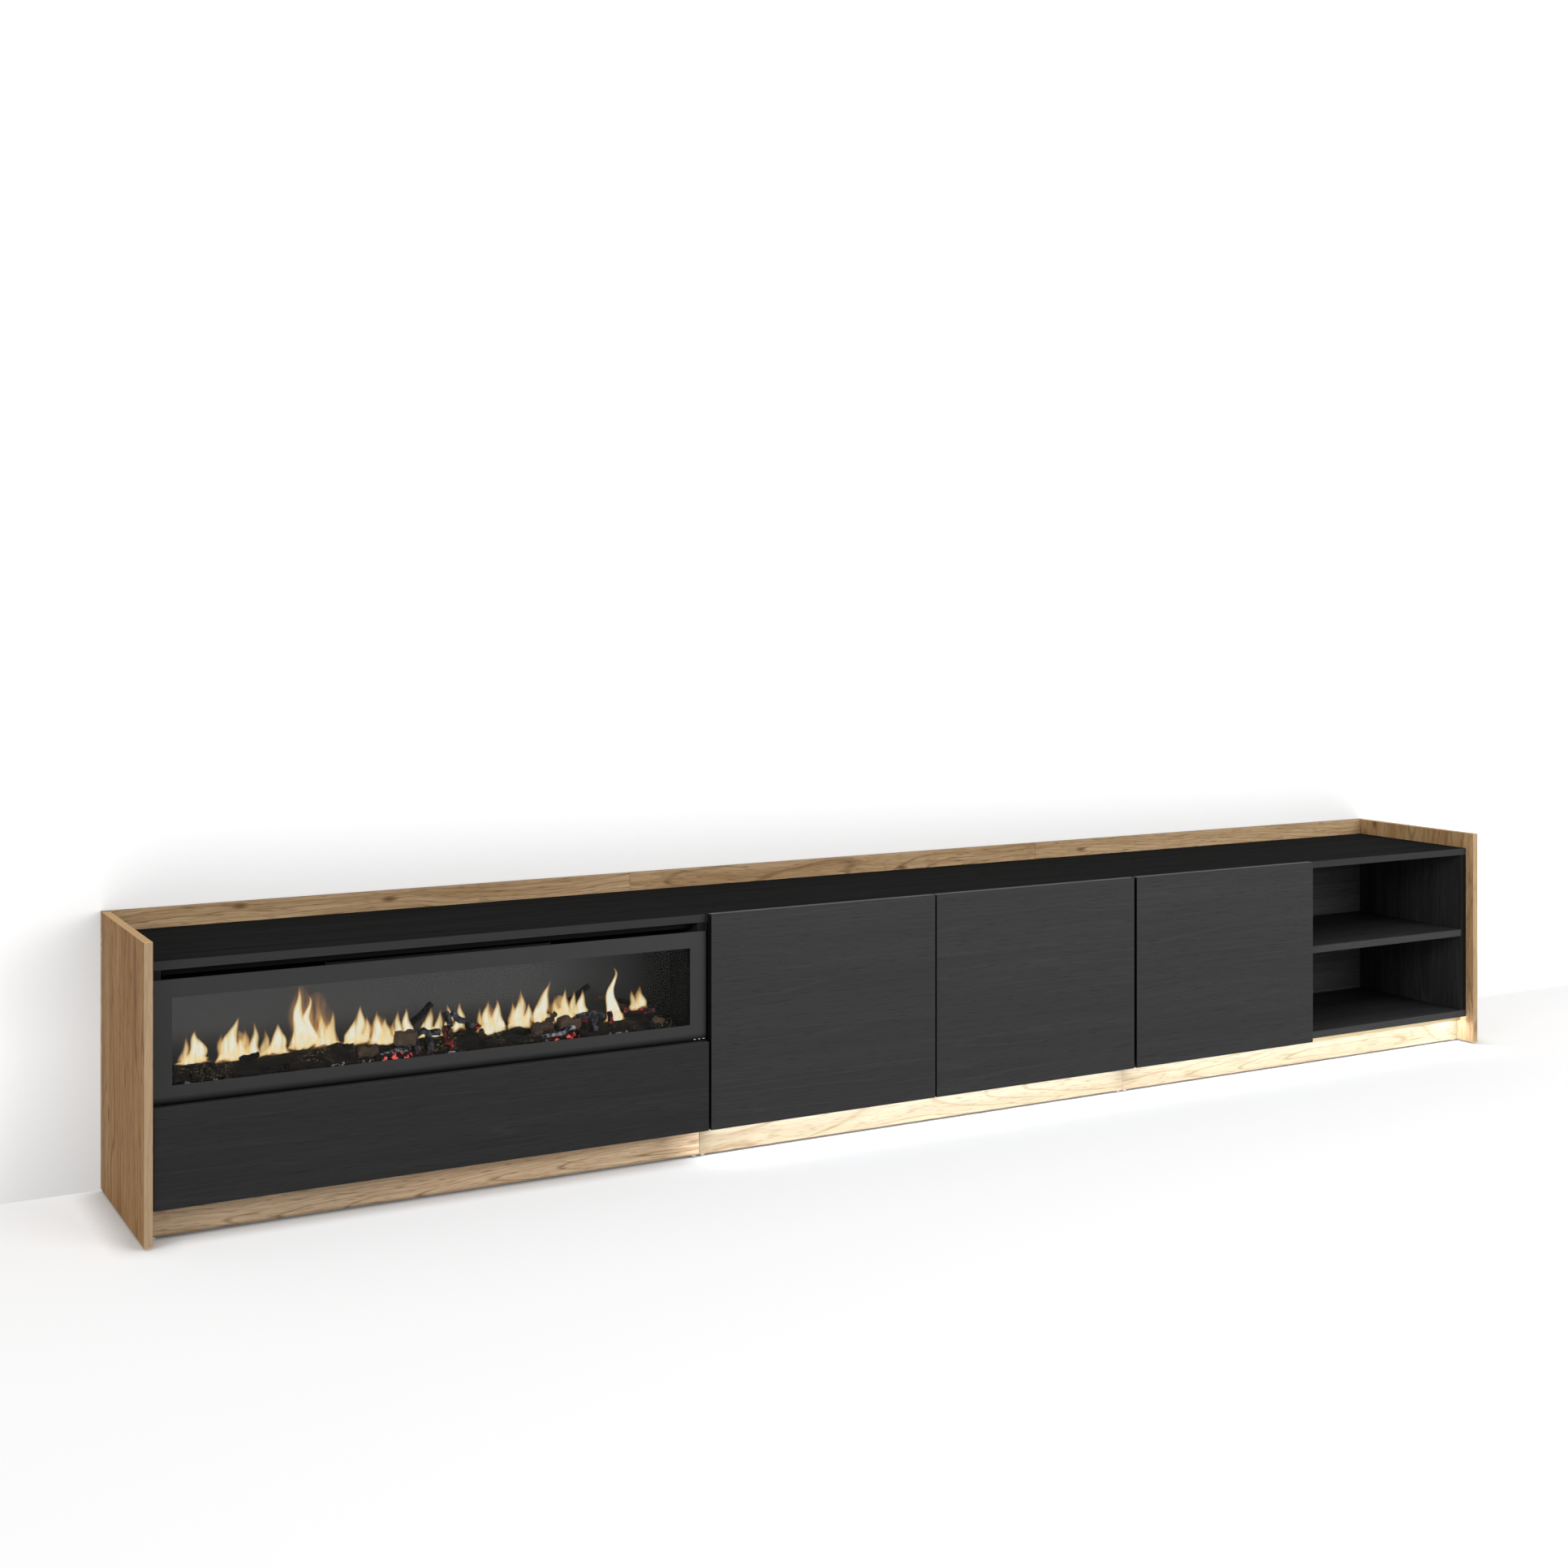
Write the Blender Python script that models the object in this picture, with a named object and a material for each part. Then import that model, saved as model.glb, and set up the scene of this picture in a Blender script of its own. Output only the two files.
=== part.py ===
"""Low TV unit of three modules in a row, with an electric fireplace in the left one.

Black wood-grain chipboard boxes are wrapped in oak decor boards: two side panels, a full-height back
board and a recessed plinth for each module. Three doors and one drop-down flap have no handles: they
open with sprung latch plungers that are set into the edges of the boards behind them.

Metres, +Z up. The origin is the middle of the unit's footprint on the floor. The front faces -Y.
"""
import math

import bmesh
import bpy
from mathutils import Matrix, Vector

for leftover in list(bpy.data.objects):
    bpy.data.objects.remove(leftover, do_unlink=True)

# Boards and modules
MODULE_COUNT = 3
MODULE_WIDTH = 1.025
OAK_THICKNESS = 0.015
BOARD_THICKNESS = 0.016
BACK_THICKNESS = 0.003
PANEL_HEIGHT = 0.500
SIDE_DEPTH = 0.365
TOP_DROP = 0.036
CARCASS_SETBACK = 0.022
BACK_INSET = 0.012
GROOVE_DEPTH = 0.006
EDGE_EASE = 0.0006

# Clearances
FIT = 0.0003
OVERRUN = 0.004

# Plinth, cheeks and glides
PLINTH_SPACE = 0.059
PLINTH_SETBACK = 0.0275
GLIDE_HEIGHT = 0.004
GLIDE_DIAMETER = 0.010
GLIDE_INSET = 0.009
CHEEK_GLIDE_INSET = 0.030

# Doors and flap
FRONT_THICKNESS = 0.016
FRONT_GAP = 0.0015
FRONT_OVERHANG = 0.003
DOOR_RISE = 0.001
DOOR_REVEAL = 0.0033
DOOR_HALF_GAP = 0.0015
FLAP_REVEAL = 0.0015
FLAP_TOP_GAP = 0.0035

# Concealed hinge arms
ARM_WIDTH = 0.014
ARM_TOP = 0.015
ARM_LIFT = 0.003
ARM_REACH = 0.058
PLATE_THICKNESS = 0.0035
PLATE_START = 0.022
PLATE_END = 0.066
ARM_SLOPE = 0.010
DOOR_ARM_INSET = 0.075
FLAP_ARM_INSET = 0.012

# Latch plungers
PLUNGER_DIAMETER = 0.006
PLUNGER_LENGTH = 0.034
PLUNGER_BORE_DEPTH = 0.038
PLUNGER_SIDES = 20
DOOR_PLUNGER_INSET = 0.040
FLAP_PLUNGER_DROP = 0.005
PLUNGER_EASE = 0.0008

# Fireplace insert
AIR_SLOT_HEIGHT = 0.0155
FIRE_FRONT_HEIGHT = 0.205
FIRE_FRONT_THICKNESS = 0.0025
WINDOW_SIDE_BORDER = 0.034
WINDOW_LOW_BORDER = 0.029
WINDOW_TOP_BORDER = 0.0305
PANE_THICKNESS = 0.004
PANE_OVERLAP = 0.008
CASING_SIDE_GAP = 0.003
CASING_TOP_GAP = 0.012
CASING_DEPTH = 0.140
CASING_WALL = 0.0015
SCREEN_SETBACK = 0.110
SCREEN_THICKNESS = 0.003
HEATER_WIDTH = 0.420
HEATER_DEPTH = 0.095
HEATER_HEIGHT = 0.024
HEATER_SETBACK = 0.030
HEATER_WALL = 0.0015
HEATER_MOUTH_HEIGHT = 0.014
INLET_WIDTH = 0.028
INLET_HEIGHT = 0.022
INLET_DEPTH = 0.012
INLET_SIDE_INSET = 0.090
OUTLET_WIDTH = 0.110
OUTLET_HEIGHT = 0.060

# Moulded log set
LOG_BED_DEPTH = 0.085
LOG_BED_HEIGHT = 0.018
LOG_BED_INSET = 0.012
LOG_SIDES = 10
LOG_THICKNESS = 0.034
LOG_TAPER_SHARE = 0.82

# LED channels
LED_WIDTH = 0.016
LED_HEIGHT = 0.008
LED_WALL = 0.0015
LED_SETBACK = 0.006
LED_END_INSET = 0.012

# Places that follow from the values above
UNIT_WIDTH = MODULE_COUNT * MODULE_WIDTH + 2 * OAK_THICKNESS
UNIT_DEPTH = SIDE_DEPTH + FIT + OAK_THICKNESS
LEFT = -UNIT_WIDTH / 2
FRONT = -UNIT_DEPTH / 2
PANEL_LOW = GLIDE_HEIGHT
PANEL_HIGH = PANEL_LOW + PANEL_HEIGHT
CARCASS_FRONT = FRONT + CARCASS_SETBACK
CARCASS_BACK = FRONT + SIDE_DEPTH
BACK_BOARD_FRONT = CARCASS_BACK + FIT
INNER_BACK = CARCASS_BACK - BACK_INSET - BACK_THICKNESS
PLINTH_FRONT = CARCASS_FRONT + PLINTH_SETBACK
PLINTH_BACK = PLINTH_FRONT + OAK_THICKNESS
BASE_LOW = PANEL_LOW + PLINTH_SPACE
FLOOR_HIGH = BASE_LOW + BOARD_THICKNESS
TOP_HIGH = PANEL_HIGH - TOP_DROP
TOP_LOW = TOP_HIGH - BOARD_THICKNESS
DOOR_BACK = CARCASS_FRONT - FRONT_GAP
DOOR_FRONT = DOOR_BACK - FRONT_THICKNESS
DOOR_LOW = BASE_LOW - FRONT_OVERHANG
DOOR_HIGH = TOP_HIGH + DOOR_RISE
FIRE_HIGH = TOP_LOW - AIR_SLOT_HEIGHT
FIRE_LOW = FIRE_HIGH - FIRE_FRONT_HEIGHT
FLAP_HIGH = FIRE_LOW - FLAP_TOP_GAP
FIRE_SHELF_HIGH = FIRE_LOW
FIRE_SHELF_LOW = FIRE_SHELF_HIGH - BOARD_THICKNESS
MID_SHELF_LOW = (FLOOR_HIGH + TOP_LOW - BOARD_THICKNESS) / 2
MID_SHELF_HIGH = MID_SHELF_LOW + BOARD_THICKNESS


def finish(name, colour, roughness, metallic=0.0):
    """A Principled material with one colour, roughness and metallic value."""
    material = bpy.data.materials.new(name)
    material.use_nodes = True
    shader = material.node_tree.nodes["Principled BSDF"]
    shader.inputs["Base Color"].default_value = (*colour, 1.0)
    shader.inputs["Roughness"].default_value = roughness
    shader.inputs["Metallic"].default_value = metallic
    return material


OAK = finish("oak_decor", (0.35, 0.20, 0.10), 0.50)
BLACK = finish("black_woodgrain", (0.035, 0.035, 0.036), 0.48)
BACK_BLACK = finish("black_fibreboard", (0.012, 0.012, 0.012), 0.70)
CHIPBOARD = finish("dark_chipboard", (0.05, 0.045, 0.04), 0.80)
CHARCOAL = finish("charcoal_painted_steel", (0.055, 0.055, 0.055), 0.40)
CASING_STEEL = finish("black_painted_steel", (0.010, 0.010, 0.010), 0.60)
PANE = finish("clear_glass", (0.60, 0.62, 0.62), 0.03)
RESIN = finish("moulded_log_resin", (0.05, 0.035, 0.025), 0.85)
SCREEN = finish("smoked_screen", (0.05, 0.05, 0.05), 0.50)
ALUMINIUM = finish("anodised_aluminium", (0.75, 0.75, 0.76), 0.35, 1.0)
HINGE_STEEL = finish("nickelled_steel", (0.60, 0.59, 0.57), 0.30, 1.0)
LATCH_PLASTIC = finish("grey_acetal", (0.25, 0.25, 0.26), 0.45)


def put(name, shape, material, origin=(0.0, 0.0, 0.0)):
    """Puts a bmesh into the scene as one named object, its own origin at the point given."""
    bmesh.ops.recalc_face_normals(shape, faces=shape.faces)
    bmesh.ops.translate(shape, vec=-Vector(origin), verts=shape.verts)
    mesh = bpy.data.meshes.new(name)
    shape.to_mesh(mesh)
    shape.free()
    if material:
        mesh.materials.append(material)
    piece = bpy.data.objects.new(name, mesh)
    piece.location = origin
    bpy.context.collection.objects.link(piece)
    return piece


def block_shape(low, high):
    """A box between two opposite corners."""
    shape = bmesh.new()
    bmesh.ops.create_cube(shape, size=1)
    for vertex in shape.verts:
        vertex.co = [(a + b) / 2 + share * (b - a) for a, b, share in zip(low, high, vertex.co)]
    return shape


def rod_shape(start, end, radius_start, radius_end, sides):
    """A round or tapered rod between two points."""
    start = Vector(start)
    run = Vector(end) - start
    shape = bmesh.new()
    bmesh.ops.create_cone(shape, cap_ends=True, segments=sides, radius1=radius_start,
                          radius2=radius_end, depth=run.length)
    turn = run.to_track_quat("Z", "Y").to_matrix().to_4x4()
    place = Matrix.Translation(start + run / 2) @ turn
    bmesh.ops.transform(shape, matrix=place, verts=shape.verts)
    return shape


def prism_shape(outline, run):
    """A flat outline of points in space, carried along the vector run."""
    shape = bmesh.new()
    face = shape.faces.new([shape.verts.new(point) for point in outline])
    made = bmesh.ops.extrude_face_region(shape, geom=[face])
    moved = [item for item in made["geom"] if isinstance(item, bmesh.types.BMVert)]
    bmesh.ops.translate(shape, vec=run, verts=moved)
    return shape


def ease(piece, width):
    """Takes the sharpness off a piece's edges."""
    bevel = piece.modifiers.new("eased_edges", "BEVEL")
    bevel.width = width
    bevel.segments = 1
    bevel.limit_method = "ANGLE"
    return piece


def join_or_cut(piece, name, shape, operation):
    """Cuts a shape out of a piece, or unites it with the piece, with a hidden helper object."""
    helper = put(name, shape, None)
    helper.hide_render = True
    helper.display_type = "WIRE"
    change = piece.modifiers.new(name, "BOOLEAN")
    change.operation = operation
    change.solver = "EXACT"
    change.object = helper


def board(name, low, high, material, origin=(0.0, 0.0, 0.0)):
    """A plain board with eased edges."""
    return ease(put(name, block_shape(low, high), material, origin), EDGE_EASE)


def module_left(index):
    """The left end of a module, counted from 0."""
    return LEFT + OAK_THICKNESS + index * MODULE_WIDTH


def module_prefix(index):
    return "m%d_" % (index + 1)


def add_glide(piece, name, x, y):
    """A round nail-in glide under a board, united with it."""
    radius = GLIDE_DIAMETER / 2
    shape = rod_shape((x, y, 0.0), (x, y, GLIDE_HEIGHT + OVERRUN), radius, radius, PLUNGER_SIDES)
    join_or_cut(piece, name, shape, "UNION")


def build_oak_cladding():
    """Two side panels, and for each module a back board and a plinth."""
    right = LEFT + UNIT_WIDTH
    board("oak_side_left", (LEFT, FRONT, PANEL_LOW),
          (LEFT + OAK_THICKNESS - FIT, CARCASS_BACK, PANEL_HIGH), OAK)
    board("oak_side_right", (right - OAK_THICKNESS + FIT, FRONT, PANEL_LOW),
          (right, CARCASS_BACK, PANEL_HIGH), OAK)
    for index in range(MODULE_COUNT):
        low_x = module_left(index) + FIT / 2
        high_x = module_left(index + 1) - FIT / 2
        back_low_x = LEFT if index == 0 else low_x
        back_high_x = right if index == MODULE_COUNT - 1 else high_x
        back = board("oak_back_%d" % (index + 1), (back_low_x, BACK_BOARD_FRONT, PANEL_LOW),
                     (back_high_x, BACK_BOARD_FRONT + OAK_THICKNESS, PANEL_HIGH), OAK)
        if index == 0:
            cut_cable_outlet(back, "oak_back_outlet")
        plinth = board("oak_plinth_%d" % (index + 1), (low_x, PLINTH_FRONT, PANEL_LOW),
                       (high_x, PLINTH_BACK, BASE_LOW - FIT), OAK)
        middle_y = (PLINTH_FRONT + PLINTH_BACK) / 2
        add_glide(plinth, "plinth_glide_left_%d" % (index + 1), low_x + GLIDE_INSET, middle_y)
        add_glide(plinth, "plinth_glide_right_%d" % (index + 1), high_x - GLIDE_INSET, middle_y)


def inlet_centre():
    """The middle of the fireplace's mains inlet, on the back of its casing."""
    x = module_left(1) - BOARD_THICKNESS - INLET_SIDE_INSET
    z = FIRE_LOW + (FIRE_FRONT_HEIGHT - CASING_TOP_GAP) / 2
    return x, z


def cut_cable_outlet(piece, name):
    """The opening behind the inlet, through which a mains lead reaches it."""
    x, z = inlet_centre()
    low = (x - OUTLET_WIDTH / 2, INNER_BACK - OVERRUN, z - OUTLET_HEIGHT / 2)
    high = (x + OUTLET_WIDTH / 2, BACK_BOARD_FRONT + OAK_THICKNESS + OVERRUN, z + OUTLET_HEIGHT / 2)
    join_or_cut(piece, name, block_shape(low, high), "DIFFERENCE")


def build_carcass(index):
    """A module's top, bottom, sides, thin back and the two cheeks that it stands on."""
    prefix = module_prefix(index)
    low_x = module_left(index) + FIT / 2
    high_x = module_left(index + 1) - FIT / 2
    inner_low_x = low_x + BOARD_THICKNESS
    inner_high_x = high_x - BOARD_THICKNESS
    top = board(prefix + "top", (low_x, CARCASS_FRONT, TOP_LOW), (high_x, CARCASS_BACK, TOP_HIGH), BLACK)
    bottom = board(prefix + "bottom", (low_x, CARCASS_FRONT, BASE_LOW),
                   (high_x, CARCASS_BACK, FLOOR_HIGH), BLACK)
    left = board(prefix + "side_left", (low_x, CARCASS_FRONT, FLOOR_HIGH + FIT),
                 (inner_low_x, CARCASS_BACK, TOP_LOW - FIT), BLACK)
    right = board(prefix + "side_right", (inner_high_x, CARCASS_FRONT, FLOOR_HIGH + FIT),
                  (high_x, CARCASS_BACK, TOP_LOW - FIT), BLACK)
    back = put(prefix + "back",
               block_shape((inner_low_x - GROOVE_DEPTH + FIT, INNER_BACK, FLOOR_HIGH - GROOVE_DEPTH + FIT),
                           (inner_high_x + GROOVE_DEPTH - FIT, INNER_BACK + BACK_THICKNESS,
                            TOP_LOW + GROOVE_DEPTH - FIT)), BACK_BLACK)
    groove_low = (inner_low_x - GROOVE_DEPTH, INNER_BACK - FIT, FLOOR_HIGH - GROOVE_DEPTH)
    groove_high = (inner_high_x + GROOVE_DEPTH, INNER_BACK + BACK_THICKNESS + FIT, TOP_LOW + GROOVE_DEPTH)
    for piece in (top, bottom, left, right):
        join_or_cut(piece, piece.name + "_groove", block_shape(groove_low, groove_high), "DIFFERENCE")
    if index == 0:
        cut_cable_outlet(back, "m1_back_outlet")
    cheek_y = PLINTH_BACK + FIT
    for side, start_x in (("left", low_x), ("right", high_x - BOARD_THICKNESS)):
        cheek = board(prefix + "cheek_" + side, (start_x, cheek_y, PANEL_LOW),
                      (start_x + BOARD_THICKNESS, CARCASS_BACK, BASE_LOW - FIT), CHIPBOARD)
        add_glide(cheek, prefix + "cheek_glide_" + side, start_x + BOARD_THICKNESS / 2,
                  CARCASS_BACK - CHEEK_GLIDE_INSET)
    return top, inner_low_x, inner_high_x


def build_shelf(name, low_x, high_x, low_z):
    """A board between two uprights, in front of the thin back."""
    return board(name, (low_x + FIT, CARCASS_FRONT, low_z),
                 (high_x - FIT, INNER_BACK - FIT, low_z + BOARD_THICKNESS), BLACK)


def build_divider(prefix, inner_low_x, inner_high_x):
    """An upright in the middle of a module. Returns the x of its two faces."""
    middle = (inner_low_x + inner_high_x) / 2
    low_x = middle - BOARD_THICKNESS / 2
    high_x = middle + BOARD_THICKNESS / 2
    board(prefix + "divider", (low_x, CARCASS_FRONT, FLOOR_HIGH + FIT),
          (high_x, INNER_BACK - FIT, TOP_LOW - FIT), BLACK)
    return low_x, high_x


def add_plunger(name, carrier, x, z):
    """A sprung latch plunger in a bore in the front edge of a board, its tip just behind the front."""
    bore_radius = PLUNGER_DIAMETER / 2 + FIT
    bore = rod_shape((x, CARCASS_FRONT - OVERRUN, z), (x, CARCASS_FRONT + PLUNGER_BORE_DEPTH, z),
                     bore_radius, bore_radius, PLUNGER_SIDES)
    join_or_cut(carrier, name + "_bore", bore, "DIFFERENCE")
    tip_y = DOOR_BACK + FIT
    radius = PLUNGER_DIAMETER / 2
    shape = rod_shape((x, tip_y, z), (x, tip_y + PLUNGER_LENGTH, z), radius, radius, PLUNGER_SIDES)
    ease(put(name, shape, LATCH_PLASTIC, (x, tip_y, z)), PLUNGER_EASE)


def add_hinge_arm(name, seat, away, along):
    """A hinge's arm and mounting plate, screwed to a board's inner face.

    seat is on that face at the carcass front, away points off the face, along is the arm's width.
    """
    nose = -(FRONT_GAP - FIT)
    profile = (
        (FIT, PLATE_START), (FIT, PLATE_END), (PLATE_THICKNESS, PLATE_END),
        (PLATE_THICKNESS, ARM_REACH), (ARM_TOP - ARM_LIFT, ARM_REACH), (ARM_TOP, ARM_REACH - ARM_SLOPE),
        (ARM_TOP, nose), (ARM_LIFT, nose), (ARM_LIFT, PLATE_START))
    away = Vector(away)
    along = Vector(along) * ARM_WIDTH
    start = Vector(seat) - along / 2
    outline = [start + away * off + Vector((0.0, depth, 0.0)) for off, depth in profile]
    put(name, prism_shape(outline, along), HINGE_STEEL)


def build_door(name, low_x, high_x, hinge_x, seat_x, away):
    """A door hinged at an upright edge, with its origin on the hinge axis at its outer front corner."""
    board(name, (low_x, DOOR_FRONT, DOOR_LOW), (high_x, DOOR_BACK, DOOR_HIGH), BLACK,
          (hinge_x, DOOR_FRONT, DOOR_LOW))
    for place, z in (("low", DOOR_LOW + DOOR_ARM_INSET), ("high", DOOR_HIGH - DOOR_ARM_INSET)):
        add_hinge_arm(name + "_hinge_" + place, (seat_x, CARCASS_FRONT, z), away, (0.0, 0.0, 1.0))


def build_fireplace(inner_low_x, inner_high_x):
    """The electric fireplace: front frame, pane, casing, log set, flame screen and heater."""
    low_x = module_left(0) + FIT
    high_x = module_left(1) - FIT
    front_y = CARCASS_FRONT - FIT - FIRE_FRONT_THICKNESS
    window_low = (low_x + WINDOW_SIDE_BORDER, FIRE_LOW + WINDOW_LOW_BORDER)
    window_high = (high_x - WINDOW_SIDE_BORDER, FIRE_HIGH - WINDOW_TOP_BORDER)
    frame = board("fire_front_frame", (low_x, front_y, FIRE_LOW),
                  (high_x, CARCASS_FRONT - FIT, FIRE_HIGH), CHARCOAL)
    join_or_cut(frame, "fire_window",
                block_shape((window_low[0], front_y - OVERRUN, window_low[1]),
                            (window_high[0], CARCASS_FRONT + OVERRUN, window_high[1])), "DIFFERENCE")
    pane_back = CARCASS_FRONT + PANE_THICKNESS
    board("fire_glass_pane",
          (window_low[0] - PANE_OVERLAP, CARCASS_FRONT, window_low[1] - PANE_OVERLAP),
          (window_high[0] + PANE_OVERLAP, pane_back, window_high[1] + PANE_OVERLAP), PANE)

    casing_low = (inner_low_x + CASING_SIDE_GAP, pane_back + FIT, FIRE_LOW + FIT)
    casing_high = (inner_high_x - CASING_SIDE_GAP, pane_back + FIT + CASING_DEPTH,
                   FIRE_HIGH - CASING_TOP_GAP)
    casing = put("fire_casing", block_shape(casing_low, casing_high), CASING_STEEL)
    room_low = [edge + CASING_WALL for edge in casing_low]
    room_high = [edge - CASING_WALL for edge in casing_high]
    join_or_cut(casing, "fire_room",
                block_shape((room_low[0], casing_low[1] - OVERRUN, room_low[2]), room_high), "DIFFERENCE")
    inlet_x, inlet_z = inlet_centre()
    join_or_cut(casing, "fire_inlet",
                block_shape((inlet_x - INLET_WIDTH / 2, casing_high[1] - CASING_WALL / 2,
                             inlet_z - INLET_HEIGHT / 2),
                            (inlet_x + INLET_WIDTH / 2, casing_high[1] + INLET_DEPTH,
                             inlet_z + INLET_HEIGHT / 2)), "UNION")

    screen_y = casing_low[1] + SCREEN_SETBACK
    board("fire_flame_screen", (room_low[0] + FIT, screen_y, room_low[2] + FIT),
          (room_high[0] - FIT, screen_y + SCREEN_THICKNESS, room_high[2] - FIT), SCREEN)
    build_log_set(room_low, room_high, screen_y)
    build_heater(casing_low, casing_high)


def build_log_set(room_low, room_high, screen_y):
    """A moulded bed of embers with logs lying along it and across it, all one moulding."""
    low = (room_low[0] + LOG_BED_INSET, screen_y - FIT - LOG_BED_DEPTH, room_low[2] + FIT)
    high = (room_high[0] - LOG_BED_INSET, screen_y - FIT, low[2] + LOG_BED_HEIGHT)
    bed = ease(put("fire_log_set", block_shape(low, high), RESIN), EDGE_EASE)
    size = [b - a for a, b in zip(low, high)]
    rise = LOG_THICKNESS
    # Each log: its start and its end as shares of the bed's length and depth and of a log's thickness
    # above the bed, and its own thickness as a share of the thickest log.
    log_shares = (
        ((0.005, 0.47, 0.30), (0.312, 0.45, 0.28), 1.00),
        ((0.285, 0.40, 0.26), (0.590, 0.44, 0.24), 1.00),
        ((0.560, 0.55, 0.28), (0.735, 0.60, 0.58), 0.90),
        ((0.700, 0.42, 0.26), (0.990, 0.50, 0.14), 0.95),
        ((0.380, 0.62, 0.30), (0.486, 0.58, 2.44), 0.55),
        ((0.684, 0.62, 0.30), (0.812, 0.58, 2.44), 0.55),
        ((0.838, 0.58, 1.86), (0.965, 0.56, 0.36), 0.46),
        ((0.868, 0.72, 0.10), (0.958, 0.44, 0.74), 0.42),
        ((0.417, 0.24, 0.92), (0.470, 0.28, 0.78), 0.62),
        ((0.742, 0.26, 0.84), (0.834, 0.22, 0.98), 0.56),
        ((0.382, 0.16, 0.14), (0.468, 0.20, 0.34), 0.56),
        ((0.722, 0.16, 0.14), (0.818, 0.20, 0.34), 0.56),
        ((0.541, 0.28, 0.10), (0.530, 0.36, 1.62), 0.46),
        ((0.528, 0.44, 1.50), (0.580, 0.46, 0.50), 0.48),
        ((0.846, 0.24, 0.10), (0.853, 0.32, 1.16), 0.46),
    )
    for number, (start, end, share) in enumerate(log_shares, 1):
        points = [(low[0] + size[0] * along, low[1] + size[1] * across, high[2] + rise * up)
                  for along, across, up in (start, end)]
        radius = LOG_THICKNESS / 2 * share
        shape = rod_shape(points[0], points[1], radius, radius * LOG_TAPER_SHARE, LOG_SIDES)
        join_or_cut(bed, "log_%d" % number, shape, "UNION")


def build_heater(casing_low, casing_high):
    """The fan heater's sheet housing on the casing, open towards the slot under the top."""
    middle = (casing_low[0] + casing_high[0]) / 2
    low = (middle - HEATER_WIDTH / 2, casing_low[1] + HEATER_SETBACK, casing_high[2] + FIT)
    high = (middle + HEATER_WIDTH / 2, low[1] + HEATER_DEPTH, low[2] + HEATER_HEIGHT)
    housing = board("fire_heater", low, high, CASING_STEEL)
    mouth_low_z = high[2] - HEATER_WALL - HEATER_MOUTH_HEIGHT
    join_or_cut(housing, "heater_mouth",
                block_shape((low[0] + HEATER_WALL, low[1] - OVERRUN, mouth_low_z),
                            (high[0] - HEATER_WALL, high[1] - HEATER_WALL, high[2] - HEATER_WALL)),
                "DIFFERENCE")


def build_first_module():
    """The left module: fireplace above, a compartment with a drop-down flap below."""
    top, inner_low_x, inner_high_x = build_carcass(0)
    shelf = build_shelf("m1_fire_shelf", inner_low_x, inner_high_x, FIRE_SHELF_LOW)
    build_fireplace(inner_low_x, inner_high_x)
    flap_low_x = module_left(0) + FLAP_REVEAL
    flap_high_x = module_left(1) - FLAP_REVEAL
    board("flap", (flap_low_x, DOOR_FRONT, DOOR_LOW), (flap_high_x, DOOR_BACK, FLAP_HIGH), BLACK,
          ((flap_low_x + flap_high_x) / 2, DOOR_FRONT, DOOR_LOW))
    for side, x in (("left", inner_low_x + FLAP_ARM_INSET), ("right", inner_high_x - FLAP_ARM_INSET)):
        add_hinge_arm("flap_hinge_" + side, (x, CARCASS_FRONT, FLOOR_HIGH), (0.0, 0.0, 1.0),
                      (1.0, 0.0, 0.0))
    add_plunger("flap_plunger", shelf, (flap_low_x + flap_high_x) / 2, FLAP_HIGH - FLAP_PLUNGER_DROP)
    return top


def build_second_module():
    """The middle module: two doors that meet in the middle, with a divider and two shelves."""
    top, inner_low_x, inner_high_x = build_carcass(1)
    left_face, right_face = build_divider("m2_", inner_low_x, inner_high_x)
    build_shelf("m2_shelf_left", inner_low_x, left_face, MID_SHELF_LOW)
    build_shelf("m2_shelf_right", right_face, inner_high_x, MID_SHELF_LOW)
    middle = (module_left(1) + module_left(2)) / 2
    outer_left = module_left(1) + DOOR_REVEAL
    outer_right = module_left(2) - DOOR_REVEAL
    build_door("door_1", outer_left, middle - DOOR_HALF_GAP, outer_left, inner_low_x, (1.0, 0.0, 0.0))
    build_door("door_2", middle + DOOR_HALF_GAP, outer_right, outer_right, inner_high_x,
               (-1.0, 0.0, 0.0))
    plunger_z = (TOP_LOW + TOP_HIGH) / 2
    add_plunger("door_1_plunger", top, middle - DOOR_PLUNGER_INSET, plunger_z)
    add_plunger("door_2_plunger", top, middle + DOOR_PLUNGER_INSET, plunger_z)


def build_third_module():
    """The right module: one door on the left half, an open bay with a shelf on the right half."""
    top, inner_low_x, inner_high_x = build_carcass(2)
    left_face, right_face = build_divider("m3_", inner_low_x, inner_high_x)
    build_shelf("m3_shelf_door", inner_low_x, left_face, MID_SHELF_LOW)
    build_shelf("m3_shelf_open", right_face, inner_high_x, MID_SHELF_LOW)
    middle = (module_left(2) + module_left(3)) / 2
    outer_left = module_left(2) + DOOR_REVEAL
    build_door("door_3", outer_left, middle, outer_left, inner_low_x, (1.0, 0.0, 0.0))
    add_plunger("door_3_plunger", top, middle - DOOR_PLUNGER_INSET, (TOP_LOW + TOP_HIGH) / 2)


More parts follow.
